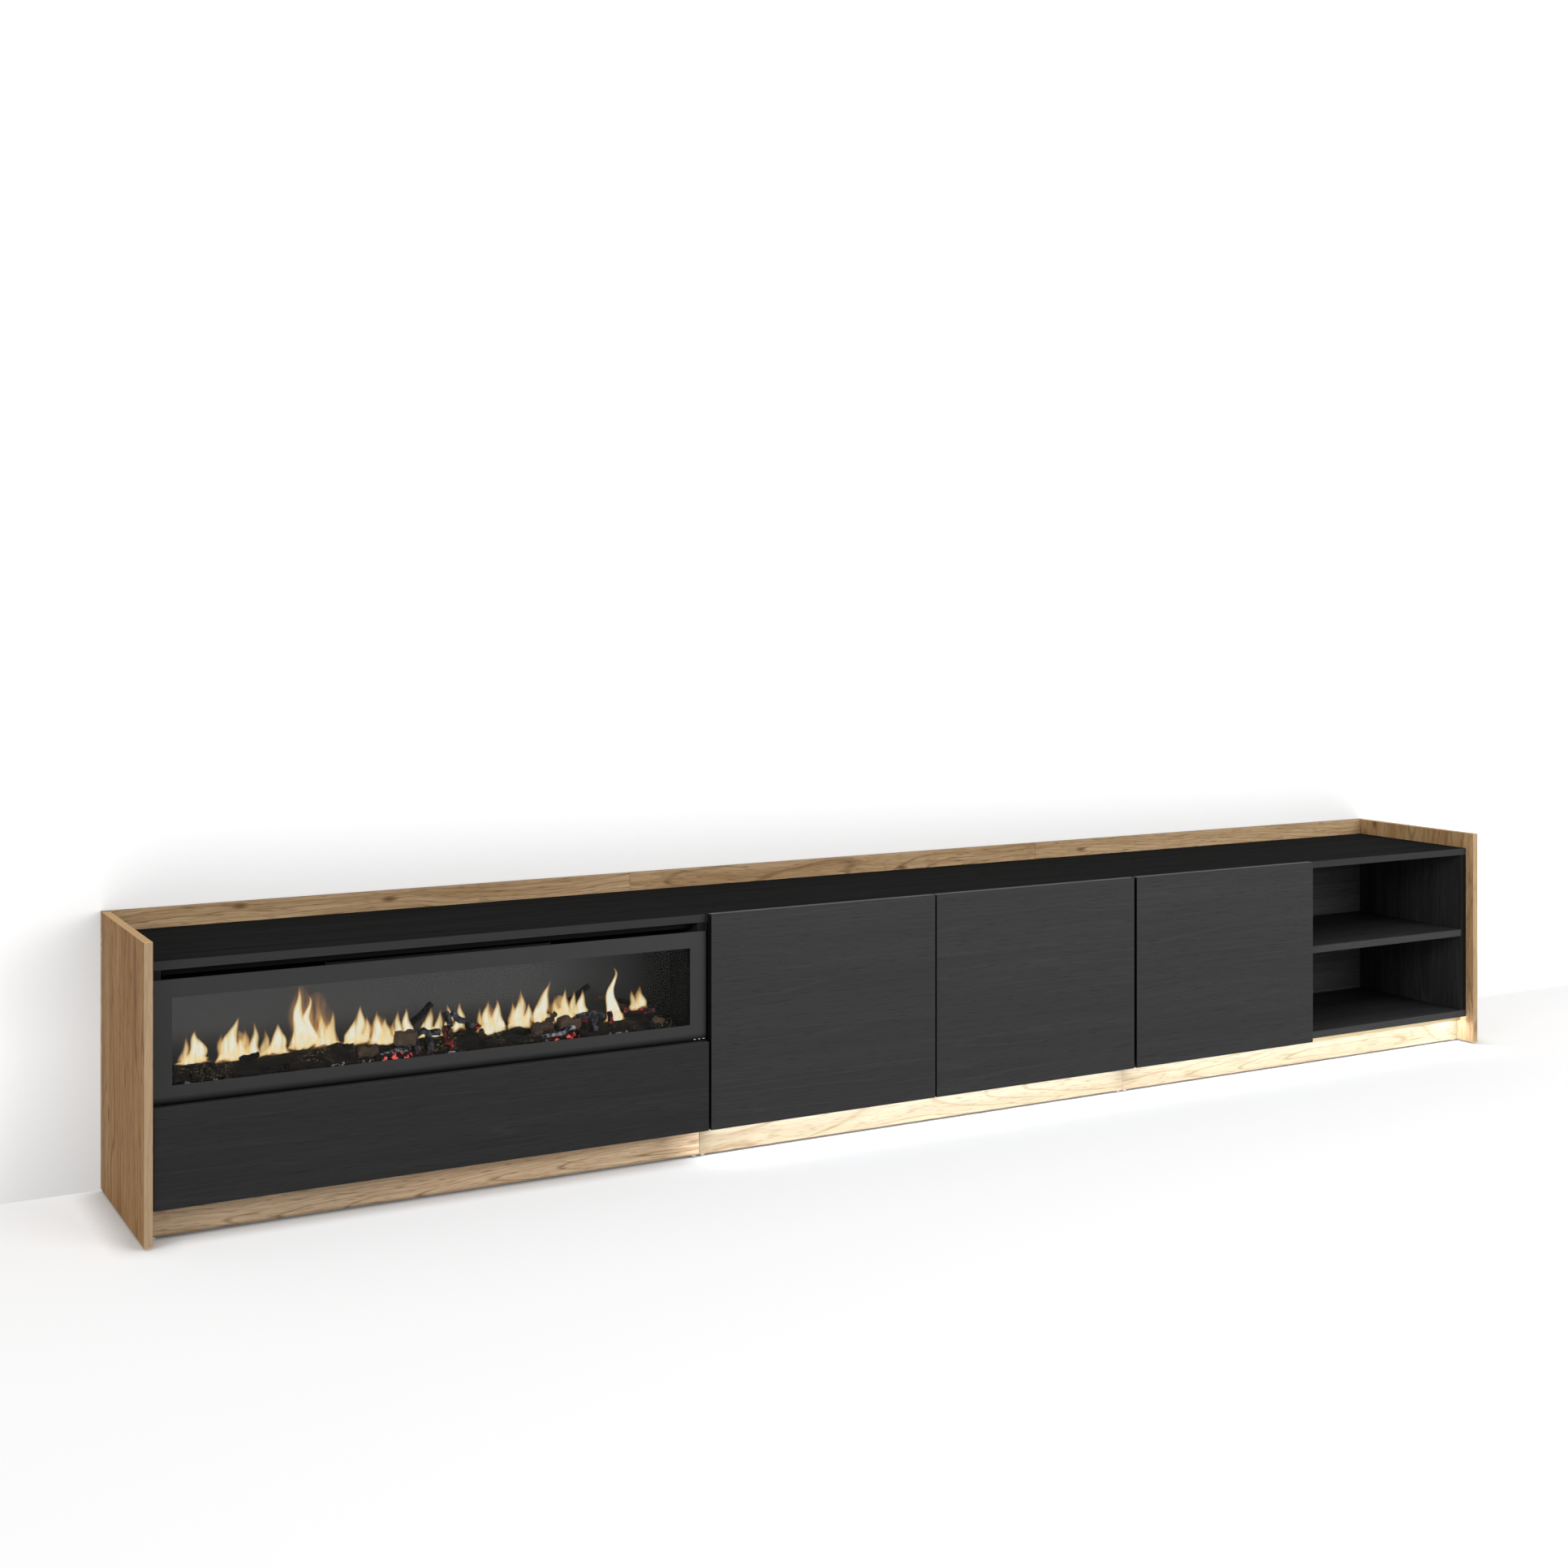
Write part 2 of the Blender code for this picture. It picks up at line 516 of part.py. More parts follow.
def build_led_channel(index):
    """An aluminium channel, open downwards, under a module's bottom in front of its plinth."""
    low_x = module_left(index) + LED_END_INSET
    high_x = module_left(index + 1) - LED_END_INSET
    near = CARCASS_FRONT + LED_SETBACK
    far = near + LED_WIDTH
    high_z = BASE_LOW - FIT
    low_z = high_z - LED_HEIGHT
    roof = high_z - LED_WALL
    section = ((near, low_z), (near, high_z), (far, high_z), (far, low_z),
               (far - LED_WALL, low_z), (far - LED_WALL, roof), (near + LED_WALL, roof),
               (near + LED_WALL, low_z))
    outline = [(low_x, y, z) for y, z in section]
    put("led_channel_%d" % (index + 1), prism_shape(outline, (high_x - low_x, 0.0, 0.0)), ALUMINIUM)


build_oak_cladding()
build_first_module()
build_second_module()
build_third_module()
for lit_module in (1, 2):
    build_led_channel(lit_module)

for piece in bpy.data.objects:
    if piece.type == "MESH" and piece.name.endswith("_plunger"):
        piece.data.shade_smooth()
        piece.data.set_sharp_from_angle(angle=math.radians(35))
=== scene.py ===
import math

import bpy
import numpy as np
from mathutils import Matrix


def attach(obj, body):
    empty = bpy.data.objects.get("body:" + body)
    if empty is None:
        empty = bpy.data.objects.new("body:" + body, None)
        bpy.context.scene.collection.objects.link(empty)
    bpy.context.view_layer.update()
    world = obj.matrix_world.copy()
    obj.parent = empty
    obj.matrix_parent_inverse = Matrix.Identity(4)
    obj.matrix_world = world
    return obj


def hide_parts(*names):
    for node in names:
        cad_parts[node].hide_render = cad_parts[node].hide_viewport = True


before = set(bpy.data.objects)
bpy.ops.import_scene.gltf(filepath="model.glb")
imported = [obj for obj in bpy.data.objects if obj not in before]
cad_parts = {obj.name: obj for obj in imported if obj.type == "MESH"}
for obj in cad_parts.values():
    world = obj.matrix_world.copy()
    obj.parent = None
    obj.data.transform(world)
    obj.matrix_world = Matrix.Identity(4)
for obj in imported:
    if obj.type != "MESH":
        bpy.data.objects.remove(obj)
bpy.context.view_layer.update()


# Oak side panels, back boards and plinths: chipboard faced with a printed oak melamine, seen as a
# satin honey-brown wood with flowing darker lines. The grain runs up the side panels and along the
# others, and paler ABS bands close the side panels' front and upper edges, the upper bands lightened
# further as a painted highlight.
def linear(text):
    """The linear colour of an sRGB hex value: v / 12.92 when small, else
    ((v + 0.055) / 1.055) ** 2.4."""
    values = [int(text[i:i + 2], 16) / 255 for i in (1, 3, 5)]
    return tuple(v / 12.92 if v <= 0.04045 else ((v + 0.055) / 1.055) ** 2.4 for v in values) + (1,)


def add(tree, kind, links={}, output=0, stops=(), **settings):
    """Adds a node with its settings, the values or links of its inputs and the stops of its ramp, and
    gives back one output. A colour may be an sRGB hex value."""
    node = tree.nodes.new("ShaderNode" + kind)
    for name, value in settings.items():
        setattr(node, name, value)
    for place, value in links.items():
        if isinstance(value, bpy.types.NodeSocket):
            tree.links.new(value, node.inputs[place])
        else:
            node.inputs[place].default_value = linear(value) if isinstance(value, str) else value
    if stops:
        marks = node.color_ramp.elements
        marks[0].position, marks[1].position = stops[0][0], stops[-1][0]
        for place, value in stops[1:-1]:
            marks.new(place)
        for mark, (place, value) in zip(marks, stops):
            mark.color = linear(value)
    return node.outputs[output]


def new_material(name, **values):
    """A material with one Principled shader. values are set on its own sockets, whose names have
    underscores for spaces."""
    material = bpy.data.materials.new(name)
    material.use_nodes = True
    shader = material.node_tree.nodes["Principled BSDF"]
    for place, value in values.items():
        shader.inputs[place.replace("_", " ")].default_value = value
    return material, material.node_tree, shader


def feed(tree, shader, **sources):
    """Links sources to a shader's sockets, whose names have underscores for spaces."""
    for place, source in sources.items():
        tree.links.new(source, shader.inputs[place.replace("_", " ")])


def dress(material, *nodes):
    """Gives CAD nodes their finish."""
    for node in nodes:
        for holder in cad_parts[node].material_slots:
            holder.material = material


row_start, module_length = -1.5365, 1.025
oak_front = -0.1899


def decor_print(name, along, dark, light, line, pore, board=module_length, edge=None, ends=None,
                knots=0.0, line_count=26, flow=(0.7, 8.0), meander=0.035, roughness=0.5, level=0.05,
                painted_light_fades=()):
    """A printed wood melamine. Broad bands across the grain are 20 mm wide, the flowing lines are the
    contours of a slow noise, 8 to 20 mm apart, and the pores are 2 mm by 35 mm, three times as wide
    as real ones, so that they show. Every stretch of the row that is board long has its own print.
    edge gives the front edge's plane, its colour and its share of the print, ends the axis, colour
    and share of the bands at both ends, and each of painted_light_fades an axis, a span along it and
    the colour's factor at the span's two ends, painted light and shade laid over the print."""
    material, tree, shader = new_material(name, Specular_IOR_Level=level)
    place = add(tree, "SeparateXYZ", {0: add(tree, "TexCoord", output="Object")}).node.outputs
    number = add(tree, "Math", {0: place["X"], 1: -row_start}, operation="ADD")
    number = add(tree, "Math", {0: number, 1: board}, operation="DIVIDE")
    number = add(tree, "Math", {0: number}, operation="FLOOR")
    first, second = (place["Z"], place["X"]) if along == "Z" else (place["X"], place["Z"])
    shifted = add(tree, "Math", {0: number, 1: 2.37, 2: first}, operation="MULTIPLY_ADD")
    deeper = add(tree, "Math", {0: number, 1: 0.71, 2: place["Y"]}, operation="MULTIPLY_ADD")
    grain = add(tree, "CombineXYZ", {0: shifted, 1: second, 2: deeper})
    drift = add(tree, "VectorMath", {0: grain, 1: (3.0, 6.0, 6.0)}, operation="MULTIPLY")
    drift = add(tree, "TexNoise", {"Vector": drift, "Scale": 1.0}, "Color")
    drift = add(tree, "VectorMath", {0: drift, 1: (0.0, meander, meander)}, operation="MULTIPLY")
    grain = add(tree, "VectorMath", {0: grain, 1: drift}, operation="ADD")

    fields = []
    for along_grain, over_grain, detail, rough in ((5.0, 26.0, 2.0, 0.5), (1.4, 34.0, 4.0, 0.6),
                                                   (*flow, 1.0, 0.5), (9.0, 230.0, 3.0, 0.5),
                                                   (26.0, 480.0, 1.0, 0.5)):
        where = add(tree, "VectorMath", {0: grain, 1: (along_grain, over_grain, over_grain)},
                    operation="MULTIPLY")
        fields.append(add(tree, "TexNoise", {"Vector": where, "Scale": 1.0, "Detail": detail,
                                             "Roughness": rough}))
    bend, bands, slow, thin, pores = fields
    slow = add(tree, "Math", {0: bend, 1: 0.02, 2: slow}, operation="MULTIPLY_ADD")
    rings = add(tree, "Math", {0: slow, 1: line_count}, operation="MULTIPLY")
    rings = add(tree, "Math", {0: rings, 1: 0.5}, operation="PINGPONG")
    rings = add(tree, "MapRange", {0: rings, 1: 0.015, 2: 0.10, 3: 1.0, 4: 0.0})
    pores = add(tree, "MapRange", {0: pores, 1: 0.58, 2: 0.72})

    tone = add(tree, "MapRange", {0: bands, 1: 0.30, 2: 0.70})
    fine = add(tree, "MapRange", {0: thin, 1: 0.25, 2: 0.75, 3: -0.34, 4: 0.34})
    tone = add(tree, "Math", {0: tone, 1: fine}, operation="ADD", use_clamp=True)
    colour = add(tree, "Mix", {0: tone, 6: dark, 7: light}, 2, data_type="RGBA")
    share = add(tree, "MapRange", {0: thin, 1: 0.35, 2: 0.65, 3: 0.25, 4: 0.85})
    share = add(tree, "Math", {0: rings, 1: share}, operation="MULTIPLY")
    colour = add(tree, "Mix", {0: share, 6: colour, 7: line}, 2, data_type="RGBA")
    share = add(tree, "Math", {0: pores, 1: 0.6}, operation="MULTIPLY")
    colour = add(tree, "Mix", {0: share, 6: colour, 7: pore}, 2, data_type="RGBA")
    if knots:
        across = add(tree, "Math", {0: second, 1: deeper}, operation="ADD")
        cells = add(tree, "CombineXYZ", {0: shifted, 1: across})
        cells = add(tree, "VectorMath", {0: cells, 1: (2.6, 7.0, 0.0)}, operation="MULTIPLY")
        cells = add(tree, "TexVoronoi", {"Vector": cells, "Scale": 1.0}, voronoi_dimensions="2D")
        share = add(tree, "MapRange", {0: cells, 1: 0.015, 2: 0.05, 3: knots, 4: 0.0})
        colour = add(tree, "Mix", {0: share, 6: colour, 7: pore}, 2, data_type="RGBA")
    # Painted light and shade: the colour is scaled along each span.
    for axis, low, high, low_factor, high_factor in painted_light_fades:
        share = add(tree, "MapRange", {0: place[axis], 1: low, 2: high, 3: low_factor, 4: high_factor})
        colour = add(tree, "VectorMath", {0: colour, "Scale": share}, operation="SCALE")
    if edge:
        share = add(tree, "Math", {0: place["Y"], 1: edge[0]}, operation="LESS_THAN")
        band = add(tree, "Mix", {0: edge[2], 6: edge[1], 7: colour}, 2, data_type="RGBA")
        colour = add(tree, "Mix", {0: share, 6: colour, 7: band}, 2, data_type="RGBA")
    if ends:
        facing = add(tree, "SeparateXYZ", {0: add(tree, "TexCoord", output="Normal")}).node.outputs
        facing = add(tree, "Math", {0: facing[ends[0]]}, operation="ABSOLUTE")
        share = add(tree, "Math", {0: facing, 1: 0.7}, operation="GREATER_THAN")
        share = add(tree, "Math", {0: share, 1: ends[2]}, operation="MULTIPLY")
        colour = add(tree, "Mix", {0: share, 6: colour, 7: ends[1]}, 2, data_type="RGBA")
    height = add(tree, "Math", {0: pores, 1: -1.0, 2: thin}, operation="MULTIPLY_ADD")
    feed(tree, shader, Base_Color=colour,
         Roughness=add(tree, "MapRange", {0: pores, 3: roughness, 4: roughness + 0.15}),
         Normal=add(tree, "Bump", {"Strength": 0.25, "Distance": 0.0004, "Height": height}))
    return material


# The plinths carry painted light and shade: the left one dimmer at the far left and near the floor,
# and brighter where the LED light of the middle module reaches. The two under the LED strips are the
# same oak printed paler and with fainter lines, as painted light for the LED light on them, and painted
# darker towards their top, where that light is strongest.
oak_left = decor_print("oak_melamine_left_side", "Z", "#936B41", "#B48C60", "#6C4C2F", "#573A20",
                       edge=(oak_front, "#C9B599", 0.5), ends=("Z", "#FDD194", 0.75), knots=0.8,
                       line_count=18, level=0.015)
# The right panel: the same oak printed lighter, as painted light for its shaded inner face, and its
# front band darker, as painted shade.
oak_right_painted_lighter = decor_print("oak_melamine_right_side_painted_lighter", "Z", "#B78D5E", "#DAB587", "#92704A", "#725334",
                        edge=(oak_front, "#9A8A75", 0.5), ends=("Z", "#E6C598", 0.6), knots=0.8,
                        line_count=18)
oak_along = decor_print("oak_melamine_along", "X", "#9C7D58", "#C3A681", "#75593A", "#62492D",
                        knots=0.8, line_count=24)
oak_plinth = decor_print("oak_melamine_plinth", "X", "#B4977A", "#D8BE9D", "#866847", "#70543A",
                         knots=0.5, line_count=28,
                         painted_light_fades=[("X", -1.22, -1.02, 0.78, 1.0), ("X", -0.585, -0.525, 1.0, 1.75),
                                ("Z", 0.004, 0.010, 0.45, 1.0)])
oak_plinth_painted_lit = decor_print("oak_melamine_plinth_painted_lit", "X", "#C4AC8A", "#D6C19E", "#A98A60", "#98784E",
                       knots=0.6, line_count=24, painted_light_fades=[("Z", 0.0, 0.055, 1.06, 0.57)])
dress(oak_left, "oak_side_left")
dress(oak_right_painted_lighter, "oak_side_right")
dress(oak_along, "oak_back_1", "oak_back_2", "oak_back_3")
dress(oak_plinth, "oak_plinth_1")
dress(oak_plinth_painted_lit, "oak_plinth_2", "oak_plinth_3")


# Nail-in glides under the plinths and cheeks: injection-moulded polyethylene caps, off-white,
# slightly waxy and faintly mottled. Each sleeve closes round its nub in the CAD.
def shell(grid, closed=False, **values):
    """Points, triangles and point values of a closed shell. grid[i, j] is point j round ring i. Each
    ring's last point joins its first, and each end ring is closed by a fan to its mean, or with
    closed the last ring joins the first. The triangles turn so that the enclosed volume is
    positive."""
    rows, count = grid.shape[:2]
    ring = np.arange(rows * count).reshape(rows, count)
    ring_next = np.roll(ring, -1, axis=0) if closed else ring[1:]
    near = ring if closed else ring[:-1]
    a, b = near, np.roll(near, -1, axis=1)
    c, d = np.roll(ring_next, -1, axis=1), ring_next
    faces = [np.stack([a, b, c], -1).reshape(-1, 3), np.stack([a, c, d], -1).reshape(-1, 3)]
    points = [grid.reshape(-1, 3)]
    spread = {name: [np.broadcast_to(value, (rows, count)).reshape(-1)]
              for name, value in values.items()}
    if not closed:
        for row, middle in ((0, rows * count), (-1, rows * count + 1)):
            fan = np.stack([np.roll(ring[row], -1), ring[row], np.full(count, middle)], -1)
            faces.append(fan if row == 0 else fan[:, ::-1])
            points.append(grid[row].mean(0)[None])
            for name, value in values.items():
                spread[name].append(np.broadcast_to(value, (rows, count))[row].mean()[None])
    points, faces = np.concatenate(points), np.concatenate(faces)
    corners = points[faces]
    volume = (corners[:, 0] * np.cross(corners[:, 1], corners[:, 2])).sum()
    return (points, faces if volume > 0 else faces[:, ::-1],
            {name: np.concatenate(value) for name, value in spread.items()})


def add_piece(name, shells, material, body, sharp=40):
    """One mesh piece of closed shells that rides on a body."""
    starts = np.cumsum([0] + [len(points) for points, faces, values in shells[:-1]])
    mesh = bpy.data.meshes.new(name)
    mesh.from_pydata(np.concatenate([points for points, faces, values in shells]).tolist(), [],
                     np.concatenate([part[1] + start for part, start in zip(shells, starts)]).tolist())
    mesh.shade_smooth()
    mesh.set_sharp_from_angle(angle=math.radians(sharp))
    for key in shells[0][2]:
        mesh.attributes.new(key, "FLOAT", "POINT").data.foreach_set(
            "value", np.concatenate([values[key] for points, faces, values in shells]))
    mesh.materials.append(material)
    piece = bpy.data.objects.new(name, mesh)
    bpy.context.collection.objects.link(piece)
    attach(piece, body)
    return piece


def turned(base, direction, outline, sides=28, closed=False):
    """A shape turned about direction: ring i lies outline[i][0] along it and outline[i][1] from it."""
    base, direction = np.array(base, float), np.array(direction, float)
    direction /= np.linalg.norm(direction)
    aside = np.cross(direction, (0.0, 0.0, 1.0) if abs(direction[2]) < 0.9 else (0.0, 1.0, 0.0))
    aside /= np.linalg.norm(aside)
    other = np.cross(direction, aside)
    angle = np.linspace(0, 2 * np.pi, sides, endpoint=False)[None, :, None]
    reach, radius = np.array(outline, float).T[:, :, None, None]
    return shell(base + direction * reach + radius * (aside * np.cos(angle) + other * np.sin(angle)),
                 closed)


def waxy_plastic(name, colour, darker, roughness):
    """A moulded plastic: a faint 3 mm mottling of the colour and a 0.4 mm sparked texture."""
    material, tree, shader = new_material(name, Specular_IOR_Level=0.4)
    where = add(tree, "TexCoord", output="Object")
    cloud = add(tree, "TexNoise", {"Vector": where, "Scale": 330.0})
    spark = add(tree, "TexNoise", {"Vector": where, "Scale": 2500.0, "Detail": 1.0})
    feed(tree, shader,
         Base_Color=add(tree, "Mix", {0: cloud, 6: darker, 7: colour}, 2, data_type="RGBA"),
         Roughness=add(tree, "MapRange", {0: spark, 3: roughness - 0.08, 4: roughness + 0.08}),
         Normal=add(tree, "Bump", {"Strength": 0.2, "Distance": 0.0001, "Height": spark}))
    return material


glide_plastic = waxy_plastic("moulded_polyethylene", "#D8D4CB", "#C3BFB6", 0.5)
glide_outline = [(0.0002, 0.0044), (0.0006, 0.0053), (0.0012, 0.0057), (0.0034, 0.0057),
                 (0.0038, 0.0054)]
glide_inset, glide_y = 0.009, -0.13315
plinth_ends = ((-1.5374, 1), (-0.5126, -1), (-0.5124, 1), (0.5124, -1), (0.5126, 1), (1.5374, -1))
add_piece("glide_caps", [turned((end + side * glide_inset, glide_y, 0.0), (0, 0, 1), glide_outline)
                         for end, side in plinth_ends],
          glide_plastic, "cabinet")


# Black carcass of the three modules: 16 mm melamine-faced chipboard in a black wood print with long
# thin streaks, dead matt on the tops and satin on the others. The backs are 3 mm fibreboard with the
# same print, and the cheeks behind the plinths are bare dark chipboard.
black_front_edge = -0.1681
streaks = {"line_count": 12, "flow": (0.4, 16.0), "meander": 0.01}
black_top = decor_print("black_melamine_lying", "X", "#232323", "#2B2B2B", "#2E2E2E", "#1E1E1E",
                        edge=(black_front_edge, "#404040", 0.3), roughness=0.62, level=0.0005,
                        **streaks)
# Front edges printed near black: painted shade for the gaps beside the doors and the fireplace frame.
black_upright_painted_edge_shade = decor_print("black_melamine_upright_painted_edge_shade", "Z", "#292929", "#3A3A3A", "#3F3F3F", "#202020",
                            edge=(black_front_edge, "#101010", 0.1), **streaks)
# Ledge under the fireplace: the print darker and its front edge near black, as painted shade in the
# gap.
black_ledge_painted_shade = decor_print("black_melamine_ledge_painted_shade", "X", "#161616", "#1C1C1C", "#1E1E1E", "#101010",
                          edge=(black_front_edge, "#050505", 0.0), **streaks)
# Shelves and bottoms: painted light and shade, 1.4 times lighter at the front, falling to 0.35 towards
# the back.
black_shelf_painted_shade = decor_print("black_melamine_shelf_painted_shade", "X", "#2A2A2A", "#383838", "#3C3C3C", "#212121",
                          edge=(black_front_edge, "#3D3D3D", 0.3),
                          painted_light_fades=[("Y", -0.165, 0.06, 1.4, 0.35)], **streaks)
black_back = decor_print("black_melamine_back", "X", "#2A2A2A", "#383838", "#3C3C3C", "#212121",
                         **streaks)
modules = ("m1", "m2", "m3")
dress(black_top, *[module + "_top" for module in modules])
dress(black_ledge_painted_shade, "m1_fire_shelf")
dress(black_shelf_painted_shade, *[module + "_bottom" for module in modules], "m2_shelf_left", "m2_shelf_right",
      "m3_shelf_door", "m3_shelf_open")
dress(black_back, *[module + "_back" for module in modules])
dress(black_upright_painted_edge_shade, *[module + side for module in modules for side in ("_side_left", "_side_right")],
      "m2_divider", "m3_divider")


def pressed_board(name, dark, light, speck, grain):
    """Pressed wood board: flakes of one grain size in metres over a slow cloud, with a few pale
    specks."""
    material, tree, shader = new_material(name, Roughness=0.7, Specular_IOR_Level=0.2)
    where = add(tree, "TexCoord", output="Object")
    flakes = add(tree, "TexVoronoi", {"Vector": where, "Scale": 1 / grain}, "Color")
    cloud = add(tree, "TexNoise", {"Vector": where, "Scale": 12.0, "Detail": 3.0})
    share = add(tree, "Math", {0: flakes, 1: 0.6, 2: cloud}, operation="MULTIPLY_ADD")
    share = add(tree, "MapRange", {0: share, 1: 0.4, 2: 1.0})
    colour = add(tree, "Mix", {0: share, 6: dark, 7: light}, 2, data_type="RGBA")
    pale = add(tree, "MapRange", {0: flakes, 1: 0.9, 2: 1.0, 3: 0.0, 4: 0.5})
    feed(tree, shader,
         Base_Color=add(tree, "Mix", {0: pale, 6: colour, 7: speck}, 2, data_type="RGBA"),
         Normal=add(tree, "Bump", {"Strength": 0.3, "Distance": 0.0003, "Height": flakes}))
    return material


dress(pressed_board("dark_chipboard", "#3A2E24", "#544333", "#7A644C", 0.004),
      *[module + side for module in modules for side in ("_cheek_left", "_cheek_right")])


# Doors and flap: the same black print on 16 mm board, satin, so that the fronts catch the light of
# the room more than the top does. The streaks run across each front, and ABS bands close the
# ends: the doors' side bands are printed near black, as painted shade for the gaps between the fronts,
# and the flap's top and bottom bands are printed lighter, as a painted highlight.
streaks["flow"] = (0.3, 16.0)
black_door_painted_edge_shade = decor_print("black_melamine_door_painted_edge_shade", "X", "#262626", "#2C2C2C", "#303030", "#202020",
                          board=module_length / 2, ends=("X", "#0A0A0A", 1.0), level=0.17, **streaks)
# Top and bottom bands printed lighter: a painted highlight.
black_flap_painted_highlight = decor_print("black_melamine_flap_painted_highlight", "X", "#272727", "#2D2D2D", "#313131", "#212121",
                         ends=("Z", "#444444", 0.8), level=0.08, **streaks)
dress(black_door_painted_edge_shade, "door_1", "door_2", "door_3")
dress(black_flap_painted_highlight, "flap")


# Fireplace body: a folded sheet-steel frame with a satin charcoal powder coat, and a casing behind it
# and a blower housing above in black stove paint. The frame's coat is painted darker and duller in
# its lowest 11 mm, as painted shade over the gap below it.
def coated_steel(name, colour, lighter, roughness, level, shade=None):
    """A powder coat: slow drifts of tone 60 mm wide and a 1 mm orange peel. shade is the span of
    height over which the coat is painted darker and duller towards its lower end, as painted shade."""
    material, tree, shader = new_material(name, Specular_IOR_Level=level)
    where = add(tree, "TexCoord", output="Object")
    drift = add(tree, "TexNoise", {"Vector": where, "Scale": 16.0})
    tone = add(tree, "Mix", {0: drift, 6: colour, 7: lighter}, 2, data_type="RGBA")
    # Painted shade: the tone falls to 0.3 and the gloss to nothing at the span's low end.
    if shade:
        height = add(tree, "SeparateXYZ", {0: where}).node.outputs["Z"]
        share = add(tree, "MapRange", {0: height, 1: shade[0], 2: shade[1], 3: 0.3, 4: 1.0})
        tone = add(tree, "VectorMath", {0: tone, "Scale": share}, operation="SCALE")
        feed(tree, shader, Specular_IOR_Level=add(tree, "MapRange", {
            0: height, 1: shade[0], 2: shade[1], 3: 0.0, 4: level}))
    peel = add(tree, "TexNoise", {"Vector": where, "Scale": 1000.0, "Detail": 1.0})
    feed(tree, shader, Base_Color=tone,
         Roughness=add(tree, "MapRange", {0: peel, 3: roughness - 0.06, 4: roughness + 0.06}),
         Normal=add(tree, "Bump", {"Strength": 0.15, "Distance": 0.0002, "Height": peel}))
    return material


dress(coated_steel("charcoal_powder_coat_painted_shade", "#252525", "#2A2A2A", 0.5, 0.23, (0.2315, 0.2430)),
      "fire_front_frame")
dress(coated_steel("black_stove_paint", "#141413", "#1B1A19", 0.6, 0.14), "fire_casing", "fire_heater")


# Air guide: a thin folded strip of black painted steel that hangs under the top board behind the slot
# and turns the warm air forward.
def bar(low, high, corner=0.0005):
    """A straight bar along its longest side: a rectangle with rounded corners, 24 points round, drawn
    in by corner at both ends."""
    low, high = np.array(low, float), np.array(high, float)
    axis = int(np.argmax(high - low))
    one, two = (axis + 1) % 3, (axis + 2) % 3
    half, middle = (high - low) / 2, (high + low) / 2
    corner = min(corner, half[one] * 0.9, half[two] * 0.9)
    quarter = np.repeat(np.arange(4), 6)
    angle = quarter * np.pi / 2 + np.tile(np.linspace(0, np.pi / 2, 6), 4)
    side_one = np.sign(np.cos(quarter * np.pi / 2 + np.pi / 4))
    side_two = np.sign(np.sin(quarter * np.pi / 2 + np.pi / 4))
    inset = np.array([1.0, 0.3, 0.0, 0.0, 0.3, 1.0])[:, None] * corner * 0.9
    reach = np.array([0.0, 0.3, 1.0, -1.0, -0.3, 0.0]) * corner
    grid = np.empty((6, 24, 3))
    grid[..., axis] = np.where(np.arange(6) < 3, low[axis], high[axis])[:, None] + reach[:, None]
    grid[..., one] = middle[one] + side_one * (half[one] - corner) + np.cos(angle) * (corner - inset)
    grid[..., two] = middle[two] + side_two * (half[two] - corner) + np.sin(angle) * (corner - inset)
    return shell(grid)


# The paint is darker than real black paint, as painted shade in the slot.
louvre_paint_painted_shade = coated_steel("black_louvre_paint_painted_shade", "#0E0E0E", "#151514", 0.6, 0.05)
add_piece("fire_air_guide", [bar((-1.5212, -0.1426, 0.4392), (-0.5288, -0.1412, 0.4519), 0.0004)],
          louvre_paint_painted_shade, "cabinet")


# Blower louvres: thirteen folded black steel blades in the same paint, set on edge in the slot under
# the top and 31 mm apart.
add_piece("fire_louvres", [bar((x, -0.1325, 0.4336), (x + 0.0012, -0.1185, 0.4470), 0.0004)
                           for x in np.linspace(-1.2136, -0.8376, 13)],
          louvre_paint_painted_shade, "cabinet")


# Dashes: three small pale dashes without meaning, pad printed on the frame's lower right corner in a
# thick ink.
dash_print = waxy_plastic("pale_pad_print", "#F2F2F0", "#E4E4E2", 0.4)
add_piece("fire_frame_dashes", [bar((x, -0.17115, 0.2321), (x + 0.0045, -0.1708, 0.2330), 0.0002)
                                for x in (-0.5395, -0.5300, -0.5205)],
          dash_print, "cabinet")


# Fire window: 4 mm clear tempered float glass behind the frame, and at the back of the firebox a
# smoked acrylic screen, lit from below. Its light is painted on as a grey glow, painted light, that
# fades to near black at the right and dims low down, painted shade.
clear_glass = new_material("tempered_float_glass", Base_Color=linear("#0C0F0E"), Roughness=0.04,
                           IOR=1.5, Alpha=0.10)[0]
dress(clear_glass, "fire_glass_pane")

smoked, tree, shader = new_material("smoked_acrylic_painted_light", Base_Color=linear("#131312"), Roughness=0.35,
                                    Specular_IOR_Level=0.15, Emission_Strength=1.0)
place = add(tree, "SeparateXYZ", {0: add(tree, "TexCoord", output="Object")}).node.outputs
